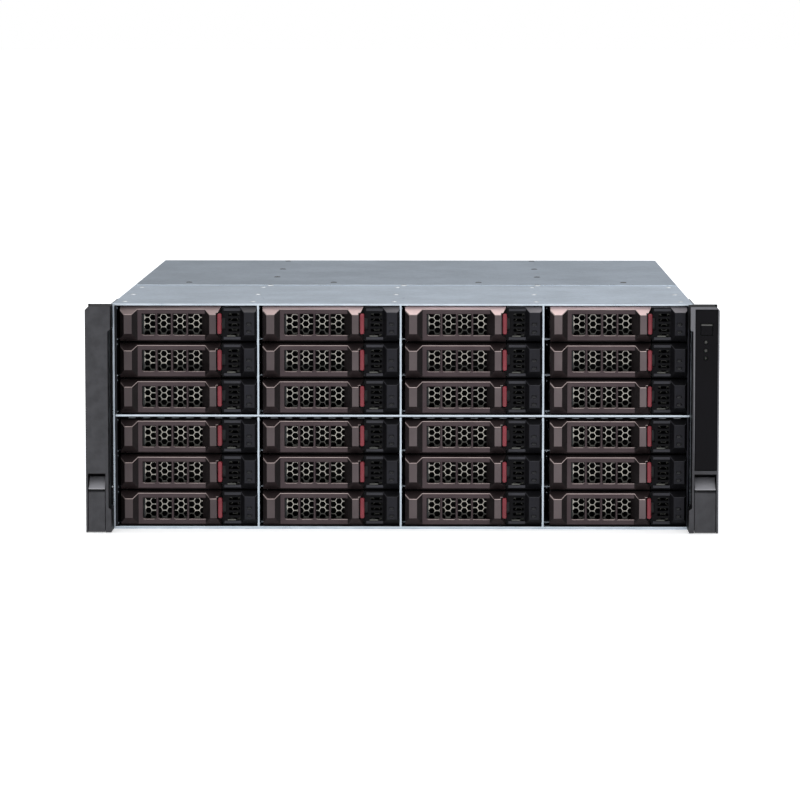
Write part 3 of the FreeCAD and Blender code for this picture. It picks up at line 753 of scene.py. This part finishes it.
def buildDrive(shape):
    left, right, low, high = shape["left"], shape["right"], shape["low"], shape["high"]
    start = shape["start"]
    end = start + shape["length"]
    bm = boxMesh(left, right, start, end, low + 1.8, high - 0.8)
    soften(bm, shape["edge"])
    bm.normal_update()
    # Painted shade: the drive's front is dark behind the screen.
    paintFaces(bm, 4, lambda f: f.normal.y < -0.3)
    # pressed lid with a stepped middle
    lid = boxMesh(left + 2, right - 2, start + 2, end - 14, high - 1.0, high - 0.4)
    top = [f for f in lid.faces if f.normal.z > 0.9]
    bmesh.ops.inset_region(lid, faces=top, thickness=6.0, depth=0.0)
    bmesh.ops.inset_region(lid, faces=top, thickness=1.0, depth=0.4)
    merge(bm, lid, 1)
    for u in (left + 6, right - 6):
        for y in (start + 6, (start + end) / 2 - 6, end - 18):
            addTurned(bm, [(0, 0.4), (1.6, 0.35), (2.2, 0.0)], (u, y, high - 0.42), (0, 0, 1), 10)
    merge(bm, boxMesh(left + 3, right - 3, start + 30, end - 1, low, low + 1.6), 2)  # board
    merge(bm, boxMesh(left + 8, left + 50, end - 5, end, low + 1.7, low + 7.5), 3)  # plug
    return bm


handleLooks = ("handlePaint", "handleEdgeHighlight", "handleStripShade", "handleSlopeShade", "handleSlopeShade", "handleFlankShade",
               "handleShade", "handleSlopeShade")
carrierParts = [(part, asMesh(build(shape), part, smooth), looks, suffix, slot)
                for part, build, shape, smooth, looks, suffix, slot in (
    # piece, builder, its dictionary, smooth up to this angle, finishes, body suffix on the top row, slot
    ("sled", buildSled, screenShape, 30, ("railSteel", "screenSteel", "screenDimShade", "screenShade"), "",
     "carrier_metal"),
    ("vent_block", buildBlock, blockShape, 0, ("blockPlastic", "blockColumnLit", "blockRimHighlight", "blockPlastic"),
     "", "black_plastic"),
    ("status_lights", buildLights, blockShape, 40, ("lensSmoke",), "", "smoked_plastic"),
    ("drive", buildDrive, driveShape, 0,
     ("driveCast", "railSteel", "boardGreen", "fanPlastic", "driveFrontShade"), "", "carrier_metal"),
    ("handle_bar", buildHandle, handleShape, 0, handleLooks, "_handle", "brown_painted_handle"),
    ("release_bar", buildRelease, releaseShape, 40, ("releaseRed",), "_latch", "red_plastic"),
)]

# The top row's slopes are painted light, and only its handles and latches move.
topRow = 6
topLooks = {
    "vent_block": ("blockPlastic", "blockColumnLit", "blockRimHighlight", "blockTopLit"),
    "handle_bar": handleLooks[:3] + ("handleTopLit",) + handleLooks[4:7] + ("handleBandLit",),
}
carriers = [(column, row) for column in range(1, 5) for row in range(1, topRow + 1)]
for column, row in carriers:
    node = f"carrier_{column}_{row}"
    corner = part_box(node)[0]
    place = Matrix.Translation((corner.x, 0, corner.z)) @ Matrix.Scale(mm, 4)
    for part, mesh, looks, suffix, slot in carrierParts:
        moving = suffix if row == topRow else ""
        if row == topRow:
            looks = topLooks.get(part, looks)
        stands = (node + moving,) if moving or part in ("sled", "vent_block", "drive") else ()
        makePiece(f"{node}_{part}", mesh, looks, node + moving, slot, stands, place)
print("carriers dressed")

# Chassis, in metres from here on.
sheetLook = {"frontRim": 1.2 * mm, "lip": 1.4 * mm, "shadeLeft": -215 * mm, "shadeRight": 215 * mm,
             "blackDepth": 6 * mm}


# Painted highlight on the cut front edges of the sheet, and painted shade on those tucked behind the right
# ear.
def paintFront(bm):
    front = inFront(sheetLook["frontRim"])
    for face, normal, middle in facesOf(bm):
        if front(face) and abs(normal.x) < 0.9:
            tucked = middle.z > 4 * mm and middle.x > sheetLook["shadeRight"]
            face.material_index = 2 if tucked else 1


def paintDividers(bm):
    # Painted shade on the dividers' sides that face the bays.
    paintFaces(bm, 2, lambda f: abs(f.normal.x) > 0.9)
    paintFront(bm)
    # painted shade on the one against the left wall, which hides behind the wall's own edge
    paintFaces(bm, 2, lambda f: f.calc_center_median().x < sheetLook["shadeLeft"])


# Painted highlight on the shelf's upper lip only; painted shade on the fold below it.
def paintShelf(bm):
    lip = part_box("mid_shelf")[1].z - sheetLook["lip"]
    scorePlane(bm, (0, 0, lip), (0, 0, 1), 1e-6)
    paintFront(bm)
    paintFaces(bm, 2, lambda f: f.calc_center_median().z < lip)


# Only the flange behind the ear is black.
def paintBrackets(bm):
    paintFaces(bm, 1, lambda f: f.calc_center_median().y > sheetLook["blackDepth"])


steel = ("caseZinc", "highlightZinc", "edgeShade")
sheetPieces = (
    # piece, node, finishes, body, slot, bevel, painting
    ("case_tray", "base_tray", steel, "chassis", "galvanised_steel", 0.2, paintFront),
    ("divider_plates", "bay_dividers", steel, "chassis", "galvanised_steel", 0.2, paintDividers),
    ("shelf_plate", "mid_shelf", steel, "chassis", "galvanised_steel", 0.3, paintShelf),
    ("rear_cover", "rear_top_cover", ("rearZinc",), "rear_cover", "galvanised_steel", 0.25),
    ("rear_flange", "rear_frame", ("caseZinc",), "chassis", "galvanised_steel", 0.1),
    ("rack_brackets", "ear_brackets", ("blackSteel", "caseZinc"), "chassis", "black_steel", 0.25,
     paintBrackets),
)
for row in sheetPieces:
    dressNode(*row)

# The front cover has a rolled front edge and three small drain holes.
coverLook = {"roll": 0.3 * mm, "rim": 0.9 * mm, "drains": (-0.11, 0.0, 0.11), "drainY": 0.062,
             "drainRadius": 1.3 * mm, "drainReach": 2 * mm}
bm = softened("front_top_cover", coverLook["roll"], 3)
holes = bmesh.new()
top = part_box("front_top_cover")[1].z
drain, reach = coverLook["drainRadius"], coverLook["drainReach"]
for x in coverLook["drains"]:
    addTurned(holes, [(0, -reach), (drain, -reach), (drain, reach), (0, reach)],
              (x, coverLook["drainY"], top), (0, 0, 1), 12)
bmesh.ops.recalc_face_normals(holes, faces=holes.faces)
bm = cutOut(bm, holes)
# painted highlight on the rolled front edge
paintFaces(bm, 1, inFront(coverLook["rim"]))
addPiece("front_cover", bm, ("coverZinc", "highlightZinc"), "chassis", "galvanised_steel", ("front_top_cover",))


def rivetDome(radius):
    return scaled([(0, 0.22), (0.5, 0.19), (0.8, 0.11), (0.95, 0.0), (1.0, -0.05)], radius)


def screwHead(radius):
    bm = bmesh.new()
    profile = [(0, 0.2), (0.62, 0.18), (0.86, 0.1), (0.96, 0.0), (0.96, -0.1), (0, -0.1)]
    addTurned(bm, scaled(profile, radius), (0, 0, 0), (0, 0, 1), 16)
    bmesh.ops.recalc_face_normals(bm, faces=bm.faces)
    arm, half = 0.62 * radius, 0.11 * radius
    for u, v in ((arm, half), (half, arm)):
        bm = cutOut(bm, boxMesh(-u, u, -v, v, 0.02 * radius, radius))
    return bm


def addCopies(bm, mesh, places, axis=(0, 0, 1)):
    turn = turnTo(axis).to_matrix().to_4x4()
    for place in places:
        one = mesh.copy()
        one.transform(Matrix.Translation(place) @ turn)
        bm.from_mesh(one)
        bpy.data.meshes.remove(one)


# beside: how far a rivet stands from the left wall's, the dividers' and the right wall's lines.
# Fasteners behind seamFrom are screws, and walls stand outside wallX.
rivetLook = {"radius": 2.5 * mm, "back": -5 * mm, "beside": (2.7 * mm, -4.8 * mm, 0.0), "wallX": 0.2,
             "seamFrom": 0.2, "screwRadius": 2.9 * mm, "screwLift": 0.06 * mm}
screwMesh = asMesh(screwHead(rivetLook["screwRadius"]), "screw", 30)
screwTop = top + rivetLook["screwLift"]
bm = bmesh.new()
seam = []
for centre in centresOf("front_cover_fasteners"):
    if centre.y > rivetLook["seamFrom"]:
        seam.append((centre.x, centre.y, screwTop))
    else:
        wall = rivetLook["wallX"]
        line = 0 if centre.x < -wall else 2 if centre.x > wall else 1
        place = (centre.x + rivetLook["beside"][line], centre.y + rivetLook["back"], top)
        addTurned(bm, rivetDome(rivetLook["radius"]), place, (0, 0, 1), 12)
addCopies(bm, screwMesh, seam)
addPiece("cover_rivets", bm, ("rivetZinc",), "chassis", "plated_fasteners", ("front_cover_fasteners",), 40)
bm = bmesh.new()
addCopies(bm, screwMesh, [(c.x, c.y, screwTop) for c in centresOf("rear_cover_screws")])
addPiece("rear_cover_screw_heads", bm, ("darkFastener",), "rear_cover", "dark_fasteners",
         ("rear_cover_screws",), 40)

# Hem of the rear cover that laps over the front one, in the brighter zinc of a painted highlight.
hemLook = {"inset": 1 * mm, "before": 1.5 * mm, "behind": 2.5 * mm, "low": 0.02 * mm, "high": 0.45 * mm,
           "edge": 0.15 * mm}
low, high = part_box("rear_top_cover")
bm = boxMesh(low.x + hemLook["inset"], high.x - hemLook["inset"], low.y - hemLook["before"],
             low.y + hemLook["behind"], high.z + hemLook["low"], high.z + hemLook["high"])
soften(bm, hemLook["edge"])
addPiece("cover_hem", bm, ("highlightZinc",), "rear_cover", "galvanised_steel")


# Piece made of small turned shapes: profile in millimetres, places as (centre, axis).
def addStuds(name, looks, profile, places, steps, slot="plated_fasteners", body="chassis"):
    bm = bmesh.new()
    for centre, axis in places:
        addTurned(bm, scaled(profile, mm), centre, axis, steps)
    addPiece(name, bm, looks, body, slot, smooth=40)


# One small screw in each gap between an ear and the case.
gapScrews = {"places": ((-223.3, 0.6), (221.8, 0.0)), "height": 0.0326,
             "profile": ((0, 0.5), (0.5, 0.45), (0.75, 0.1), (0.75, -0.1))}
places = [((x * mm, y * mm, gapScrews["height"]), (0, -1, 0)) for x, y in gapScrews["places"]]
addStuds("bracket_screws", ("rivetZinc",), gapScrews["profile"], places, 12)

# Rivets and slide-rail studs on the two sides of the case, radius and profile in millimetres.
sideLook = {
    "rivetsY": (0.075, 0.13, 0.19, 0.24, 0.32, 0.4, 0.48, 0.535), "rivetsZ": (0.012, 0.088, 0.16),
    "rivetRadius": 2.2, "studs": ((0.11, 0.052), (0.3, 0.052), (0.46, 0.052)),
    "studProfile": ((0, 2.4), (3.2, 2.4), (3.6, 2.0), (3.6, 1.4), (2.0, 1.3), (2.0, -0.1)),
}
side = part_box("base_tray")[1].x
rivets = [(y, z) for y in sideLook["rivetsY"] for z in sideLook["rivetsZ"]]
places = [((way * side, y, z), (way, 0, 0)) for y, z in rivets for way in (-1, 1)]
addStuds("side_rivets", ("brightFastener",), rivetDome(sideLook["rivetRadius"]), places, 12)
places = [((way * side, y, z), (way, 0, 0)) for way in (-1, 1) for y, z in sideLook["studs"]]
addStuds("rail_studs", ("brightFastener",), sideLook["studProfile"], places, 16)

# Small dimples that keep the carriers apart, and the sprung tabs under the mid shelf.
dimpleLook = {"beside": 2.7 * mm, "y": 3.5 * mm, "inset": 1.3 * mm,
              "profile": ((0, 0.7), (0.4, 0.6), (0.6, 0.3), (0.7, 0))}
places = []
for column, row in carriers:
    low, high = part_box(f"carrier_{column}_{row}")
    for z in (low.z + dimpleLook["inset"], high.z - dimpleLook["inset"]):
        places.append(((low.x - dimpleLook["beside"], dimpleLook["y"], z), (1, 0, 0)))
# the dimples take the brighter zinc of the painted highlight
addStuds("divider_dimples", ("highlightZinc",), dimpleLook["profile"], places, 8, "galvanised_steel")
tabLook = {"count": 9, "first": 6, "pitch": 11.1, "width": 5.4 * mm, "front": 0.5 * mm, "back": 1.1 * mm,
           "low": 0.85 * mm, "high": 0.03 * mm, "shelf": 2 * mm, "edge": 0.12 * mm}
bm = bmesh.new()
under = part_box("mid_shelf")[1].z - tabLook["shelf"]
for column in range(1, 5):
    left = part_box(f"carrier_{column}_3")[0].x
    for i in range(tabLook["count"]):
        x = left + (tabLook["first"] + i * tabLook["pitch"]) * mm
        addBox(bm, x, x + tabLook["width"], tabLook["front"], tabLook["back"], under - tabLook["low"],
               under - tabLook["high"])
soften(bm, tabLook["edge"], 1)
addPiece("shelf_tabs", bm, ("darkFastener",), "chassis", "galvanised_steel")
print("chassis dressed")


# Painted shade on the ears' sides that face the bays and on their tops; the narrow rim round the panel is
# paler.
def paintEar(bm):
    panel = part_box("control_panel")[0]
    for face, normal, middle in facesOf(bm):
        inward = -1 if middle.x > 0 else 1
        if normal.x * inward > 0.7 or normal.z > 0.6:
            face.material_index = 2
        elif normal.y < -0.9 and middle.x > 0 and (middle.x < panel.x or panel.z - 3 * mm < middle.z):
            face.material_index = 1


# The lever's grip: painted light on its slope, a painted highlight on its lip, and painted shade in the
# recess above.
leverLook = {"plainBelow": 20 * mm, "recess": 31.5 * mm, "slope": 32.5 * mm, "lip": 33 * mm,
             "lipFront": -24.6 * mm}


def paintLever(bm):
    for face, normal, middle in facesOf(bm):
        if middle.z < leverLook["plainBelow"]:
            continue
        if middle.y < leverLook["lipFront"] and middle.z > leverLook["lip"]:
            face.material_index = 3
        elif normal.z > 0.3 and middle.z > leverLook["slope"]:
            face.material_index = 1
        elif middle.z > leverLook["recess"] and normal.z < 0.3:
            face.material_index = 2


# Painted highlight on the key's up-facing top bevel.
def paintKey(bm):
    paintFaces(bm, 1, lambda f: f.normal.z > 0.3 and f.normal.y < -0.3)


earLooks = ("earPlastic", "earRim", "earShade")
leverLooks = ("leverPlastic", "leverRidgeLit", "earShade", "leverGlint")
atFront = inFront(-24.9 * mm)
earPieces = (
    # piece, node, finishes, body, slot, bevel, painting, steps, which edges
    ("left_ear", "left_ear_cover", earLooks, "chassis", "grey_plastic", 0.7, paintEar, 3, atFront),
    ("right_ear", "right_ear_cover", earLooks, "chassis", "grey_plastic", 0.15, paintEar, 2, atFront),
    ("left_lever", "left_latch_lever", leverLooks, "left_latch_lever", "grey_plastic", 0.4, paintLever),
    ("right_lever", "right_latch_lever", leverLooks, "right_latch_lever", "grey_plastic", 0.4, paintLever),
    ("power_key", "power_button", ("panelGloss", "panelMarkAndHighlight"), "power_button", "black_plastic", 0.3,
     paintKey),
)
for row in earPieces:
    dressNode(*row)

# Control panel: glossy plate with its board behind, and two round light pipes over a triangular one.
panelLook = {
    "sides": (16, 16, 3), "inset": 0.1 * mm, "plateEdge": 0.25 * mm,
    "profile": ((0, 0.2), (0.4, 0.2), (0.6, -0.05), (0.95, -0.05), (1.2, 0.3), (1.25, 4.0)),
}
panel, board = solidsOf("control_panel")
soften(panel, panelLook["plateEdge"])
merge(panel, board, 1)
addPiece("control_plate", panel, ("panelGloss", "boardGreen"), "chassis", "black_plastic",
         ("control_panel",))
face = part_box("control_panel")[0].y
bm = bmesh.new()
pipes = sorted(centresOf("status_light_pipes"), key=lambda c: -c.z)
for centre, sides in zip(pipes, panelLook["sides"]):
    place = (centre.x, face + panelLook["inset"], centre.z)
    addTurned(bm, scaled(panelLook["profile"], mm), place, (0, 1, 0), sides)
addPiece("panel_lights", bm, ("panelMarkAndHighlight",), "chassis", "smoked_plastic", ("status_light_pipes",), 40)
print("ears dressed")

panelY = 0.549  # face of the rear panels, in metres

# Rear modules, in millimetres from a module's lower left corner, y as in the whole object.
psuShape = {
    "width": 216.0, "height": 106.0, "start": 230.0, "end": 549.0, "wall": 1.2, "edge": 0.3,
    "fanU": 60.0, "fanV": 53.0, "fanR": 44.0, "fanHalf": 46.0, "fanDepth": 25.0, "motorR": 14.0,
    "handle": (120.0, 208.0), "axisY": 553.5, "axisZ": 52.0, "inlet": (172.0, 200.0, 72.0, 93.0),
    "vents": (114.0, 164.0, 66.0, 100.0), "ventHole": (4.6, 1.4), "intake": (14, 202, 36, 96),
    "converter": (116, 208, 300, 450, 1.25, 60), "fins": 9, "finPitch": 10,
    "fin": (122, 124, 306, 444, 59, 66), "plug": (36, 94, 214.6, 230.0, 16, 26),
    "screws": ((6, 6), (6, 100), (210, 6), (210, 100)), "lights": ((206, 64),),
    "lamp": ((0, 1.0), (1.2, 0.7), (1.6, 0), (1.6, -0.5)), "fanCorner": 4.0, "converterEdge": 1.0,
    "spokeStart": 10, "spokeHalf": 1.6,
}
lugShape = {"inset": 7.6, "width": 3.4, "half": 3.5, "behindAxis": 3,
            "pin": ((1.5, -0.5), (1.5, 6.0), (1.1, 6.4), (0, 6.4))}


def addRing(bm, centre, radius, wire):
    circle = bmesh.ops.create_circle(bm, segments=6, radius=wire, matrix=Matrix.Translation(
        Vector(centre) + Vector((radius, 0, 0))))["verts"]
    edges = list({e for v in circle for e in v.link_edges})
    bmesh.ops.spin(bm, geom=circle + edges, cent=centre, axis=(0, 1, 0), dvec=(0, 0, 0), angle=2 * math.pi,
                   steps=36, use_merge=True)


# Two lugs with the pins that the grab handle turns on.
def addLugs(bm, left, right, axisY, axisZ, face):
    width, half = lugShape["width"], lugShape["half"]
    for inner, outward in ((left + lugShape["inset"], -1), (right - lugShape["inset"], 1)):
        low = min(inner, inner - outward * width)
        addBox(bm, low, low + width, face - 0.2, axisY + lugShape["behindAxis"], axisZ - half, axisZ + half)
        addTurned(bm, lugShape["pin"], (inner, axisY, axisZ), (outward, 0, 0), 14)


# Cylinder along y, to cut with.
def roundCutter(radius, centre, length):
    bm = bmesh.new()
    addTurned(bm, [(0, 0), (radius, 0), (radius, length), (0, length)], centre, (0, 1, 0), 48)
    bmesh.ops.recalc_face_normals(bm, faces=bm.faces)
    return bm


def buildPsuCase(shape):
    width, height, wall = shape["width"], shape["height"], shape["wall"]
    start, end = shape["start"], shape["end"]
    bm = boxMesh(0, width, start, end, 0, height)
    soften(bm, shape["edge"])
    bm = cutOut(bm, boxMesh(wall, width - wall, start + wall, end - wall, wall, height - wall))
    left, right, low, high = shape["vents"]
    cutter = hexField(left, ((left, right),), low, high, end - 3, end + 1, *shape["ventHole"])
    left, right, low, high = shape["intake"]
    addBox(cutter, left, right, start - 1, start + 2, low, high)
    left, right, low, high = shape["inlet"]
    addBox(cutter, left, right, end - 3, end + 1, low, high)
    merge(cutter, roundCutter(shape["fanR"], (shape["fanU"], end - 3, shape["fanV"]), 4))
    bm = cutOut(bm, cutter)
    addLugs(bm, *shape["handle"], shape["axisY"], shape["axisZ"], end)
    return bm


# Mains inlet with its three pins.
inletShape = {"front": 524, "back": 549.6, "gap": 0.2, "cavity": (533, 553), "pins": (532, 543)}


def buildInlet(left, right, low, high):
    gap = inletShape["gap"]
    inlet = boxMesh(left + gap, right - gap, inletShape["front"], inletShape["back"], low + gap, high - gap)
    soften(inlet, 0.6)
    cavity = bmesh.new()
    chamfer = [(left + 2.8, low + 3.2), (right - 2.8, low + 3.2), (right - 2.8, high - 6.2),
               (right - 6.0, high - 3.2), (left + 6.0, high - 3.2), (left + 2.8, high - 6.2)]
    addPrism(cavity, chamfer, *inletShape["cavity"], "y")
    inlet = cutOut(inlet, cavity)
    middle, level = (left + right) / 2, (low + high) / 2
    pins = bmesh.new()
    for du, dv in ((-7, -1.5), (0, 1.5), (7, -1.5)):
        addBox(pins, middle + du - 1, middle + du + 1, *inletShape["pins"], level + dv - 2, level + dv + 2)
    soften(pins, 0.4)
    merge(inlet, pins, 1)
    return inlet


def buildPsuMouldings(shape):
    end = shape["end"] - shape["wall"] - 0.05
    u, v, half, motor = shape["fanU"], shape["fanV"], shape["fanHalf"], shape["motorR"]
    bm = boxMesh(u - half, u + half, end - shape["fanDepth"], end, v - half, v + half)
    soften(bm, shape["fanCorner"], 3, runsAlong("y"))
    bm = cutOut(bm, roundCutter(shape["fanR"], (u, end - 30, v), 40))
    for turn in range(4):  # struts that carry the motor
        wide = shape["spokeHalf"]
        spoke = boxMesh(shape["spokeStart"], half - 1, end - 2.4, end - 0.2, -wide, wide)
        matrix = Matrix.Translation((u, 0, v)) @ Matrix.Rotation(math.radians(45 + 90 * turn), 4, "Y")
        bmesh.ops.transform(spoke, matrix=matrix, verts=spoke.verts)
        merge(bm, spoke)
    addTurned(bm, [(0, 0), (motor - 0.6, 0), (motor, -0.6), (motor, -2.6), (0, -2.6)],
              (u, end - 0.1, v), (0, 1, 0), 32)
    merge(bm, buildInlet(*shape["inlet"]))
    addBox(bm, *shape["plug"])  # to the backplane
    return bm


def buildConverter(shape):
    bm = boxMesh(*shape["converter"])
    soften(bm, shape["converterEdge"])
    left, right, *others = shape["fin"]
    for i in range(shape["fins"]):
        addBox(bm, left + i * shape["finPitch"], right + i * shape["finPitch"], *others)
    return bm


guardLook = {"wire": 0.9 * mm, "rings": (13, 21, 29, 37, 44.5), "near": 12.5 * mm, "reach": 46.0 * mm,
             "lift": 0.9 * mm}


def addGuard(node, corner):
    middle = Vector((corner.x + psuShape["fanU"] * mm, panelY + guardLook["lift"],
                     corner.z + psuShape["fanV"] * mm))
    wire, near = guardLook["wire"], guardLook["near"]
    length = guardLook["reach"] - near
    bm = bmesh.new()
    for radius in guardLook["rings"]:
        addRing(bm, middle, radius * mm, wire)
    for i in range(4):
        turn = Matrix.Rotation(math.radians(45 + 90 * i), 3, "Y")
        addTurned(bm, [(wire, 0), (wire, length), (0, length)], middle + turn @ Vector((near, 0, 0)),
                  turn @ Vector((1, 0, 0)), 8)
    addPiece(f"{node}_fan_guard", bm, ("brightFastener",), node, "plated_fasteners", smooth=50)


# The screws and the indicator lights on a module's rear face.
def addFittings(node, corner, shape, lightName, steps):
    def onFace(u, v, lift=0.0):
        return corner.x + u * mm, panelY + lift, corner.z + v * mm
    bm = bmesh.new()
    addCopies(bm, screwMesh, [onFace(u, v, 0.05 * mm) for u, v in shape["screws"]], (0, 1, 0))
    addPiece(f"{node}_screws", bm, ("brightFastener",), node, "plated_fasteners", smooth=40)
    places = [(onFace(u, v), (0, 1, 0)) for u, v in shape["lights"]]
    addStuds(f"{node}_{lightName}", ("lensSmoke",), shape["lamp"], places, steps, "smoked_plastic", node)


def addGrip(node):
    handle = f"{node}_handle"
    dressNode(f"{node}_grip", handle, plastic, handle, "black_plastic", 0.8, None, 3)


ioShape = {
    "edge": 0.3, "vents": (12, 100, 38, 52), "ventHole": (4.6, 1.4),
    "screws": ((5, 5), (5, 52), (211, 5), (211, 52)),
    "lights": ((26.5, 14.5), (50.5, 14.5), (74.5, 14.5)),
    "lamp": ((0, 0.8), (0.9, 0.6), (1.2, 0), (1.2, -0.5)), "portEdge": 0.3,
}
plastic = ("fanPlastic",)
psuParts = (
    ("case", asMesh(buildPsuCase(psuShape), "case"), ("moduleZinc",), "module_steel"),
    ("mouldings", asMesh(buildPsuMouldings(psuShape), "mouldings"), ("fanPlastic", "brightFastener"),
     "black_plastic"),
    ("converter", asMesh(buildConverter(psuShape), "converter"), ("railSteel",), "module_steel"),
)
for number in (1, 2):
    node = f"psu_{number}"
    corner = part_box(node)[0]
    place = Matrix.Translation((corner.x, 0, corner.z)) @ Matrix.Scale(mm, 4)
    for part, mesh, looks, slot in psuParts:
        makePiece(f"{node}_{part}", mesh, looks, node, slot, (node,), place)
    addGuard(node, corner)
    addFittings(node, corner, psuShape, "light", 16)
    addGrip(node)
    rotor = f"{node}_fan_rotor"
    dressNode(f"{node}_rotor", rotor, plastic, rotor, "black_plastic", 0.3, None, 1)

    node = f"io_module_{number}"
    shell, board, plug, *cages = solidsOf(node)
    corner = boxOf(shell)[0]
    soften(shell, ioShape["edge"] * mm, 2, lambda e: all(v.co.y > 0.5 for v in e.verts))
    left, right, low, high = [c * mm for c in ioShape["vents"]]
    spans = ((corner.x + left, corner.x + right),)
    shell = cutOut(shell, hexField(corner.x + left, spans, corner.z + low, corner.z + high, panelY - 3 * mm,
                                   panelY + 1 * mm, *[c * mm for c in ioShape["ventHole"]]))
    addPiece(f"{node}_case", shell, ("moduleZinc",), node, "module_steel", (node,))
    addPiece(f"{node}_board", board, ("boardGreen",), node, "circuit_board", (node,))
    ports = cages[0]
    for other in cages[1:]:
        merge(ports, other)
    soften(ports, ioShape["portEdge"] * mm, 1, None, 40)
    addPiece(f"{node}_port_cages", ports, ("brightFastener",), node, "module_steel", (node,))
    addPiece(f"{node}_plug", plug, plastic, node, "black_plastic", (node,))
    addFittings(node, corner, ioShape, "lights", 12)
    addGrip(node)
print("rear modules dressed")

# The CAD nodes that still show take finishes on their own slots.
shownNodes = {"backplane_board": "boardGreen", "backplane_connectors": "fanPlastic"}
for node, look in shownNodes.items():
    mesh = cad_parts[node].data
    if not mesh.materials:
        mesh.materials.append(finishes[look])
    for i in range(len(mesh.materials)):
        mesh.materials[i] = finishes[look]

# Plain pale floor.
stageLook = {"half": 60.0, "pale": (236, 237, 239), "rough": 0.8, "glow": 0.45}
bm = bmesh.new()
bmesh.ops.create_grid(bm, x_segments=1, y_segments=1, size=stageLook["half"])
mesh = asMesh(bm, "floor")
floor = bpy.data.objects.new("floor", mesh)
bpy.context.scene.collection.objects.link(floor)
material = bpy.data.materials.new("paleFloor")
material.use_nodes = True
paper = Finish(material.node_tree)
inputs = {"Base Color": tint(*stageLook["pale"]), "Roughness": stageLook["rough"],
          "Emission Color": (1, 1, 1, 1), "Emission Strength": stageLook["glow"]}
shader = paper.node("ShaderNodeBsdfPrincipled", None, inputs)
paper.node("ShaderNodeOutputMaterial", None, {"Surface": shader})
mesh.materials.append(material)

# Soft studio: light from overhead, a band of it above the front, darker round the sides.
skyLook = {"side": 0.28, "top": 1.25, "topSpan": (0.35, 0.95), "band": 1.5, "bandWay": (0, -0.74, 0.67),
           "bandSpan": (0.9, 0.99), "front": 0.25, "frontWay": (0, -1, 0), "frontSpan": (0.6, 1.0)}
world = bpy.data.worlds.new("studio")
bpy.context.scene.world = world
world.use_nodes = True
sky = Finish(world.node_tree)
way = sky.node("ShaderNodeTexCoord", output="Generated")
up = sky.node("ShaderNodeSeparateXYZ", None, {0: way}, 2)


def towards(place):
    inputs = {0: way, 1: skyLook[place + "Way"]}
    dot = sky.node("ShaderNodeVectorMath", {"operation": "DOT_PRODUCT"}, inputs, "Value")
    return skyLook[place] * sky.spread(dot, *skyLook[place + "Span"])


overhead = skyLook["top"] * sky.spread(up, *skyLook["topSpan"])
light = skyLook["side"] + overhead + towards("band") + towards("front")
seen = sky.node("ShaderNodeLightPath", output="Is Camera Ray")
strength = light * (1 - seen) + 1.0 * seen  # the camera sees plain white behind the part
shader = sky.node("ShaderNodeBackground", None, {"Color": (1, 1, 1, 1), "Strength": strength})
sky.node("ShaderNodeOutputWorld", None, {"Surface": shader})

cameraLook = {"place": (0.0375, -2.93, 0.3851), "pitch": 5.557, "turn": 0.768, "lens": 172.56,
              "sensor": 36, "near": 0.05, "far": 200}
data = bpy.data.cameras.new("camera")
data.lens, data.sensor_width = cameraLook["lens"], cameraLook["sensor"]
data.clip_start, data.clip_end = cameraLook["near"], cameraLook["far"]
camera = bpy.data.objects.new("camera", data)
camera.location = cameraLook["place"]
camera.rotation_euler = (math.radians(90 - cameraLook["pitch"]), 0, math.radians(cameraLook["turn"]))
bpy.context.scene.collection.objects.link(camera)
bpy.context.scene.camera = camera
bpy.context.scene.view_settings.view_transform = "Standard"
print("stage set")
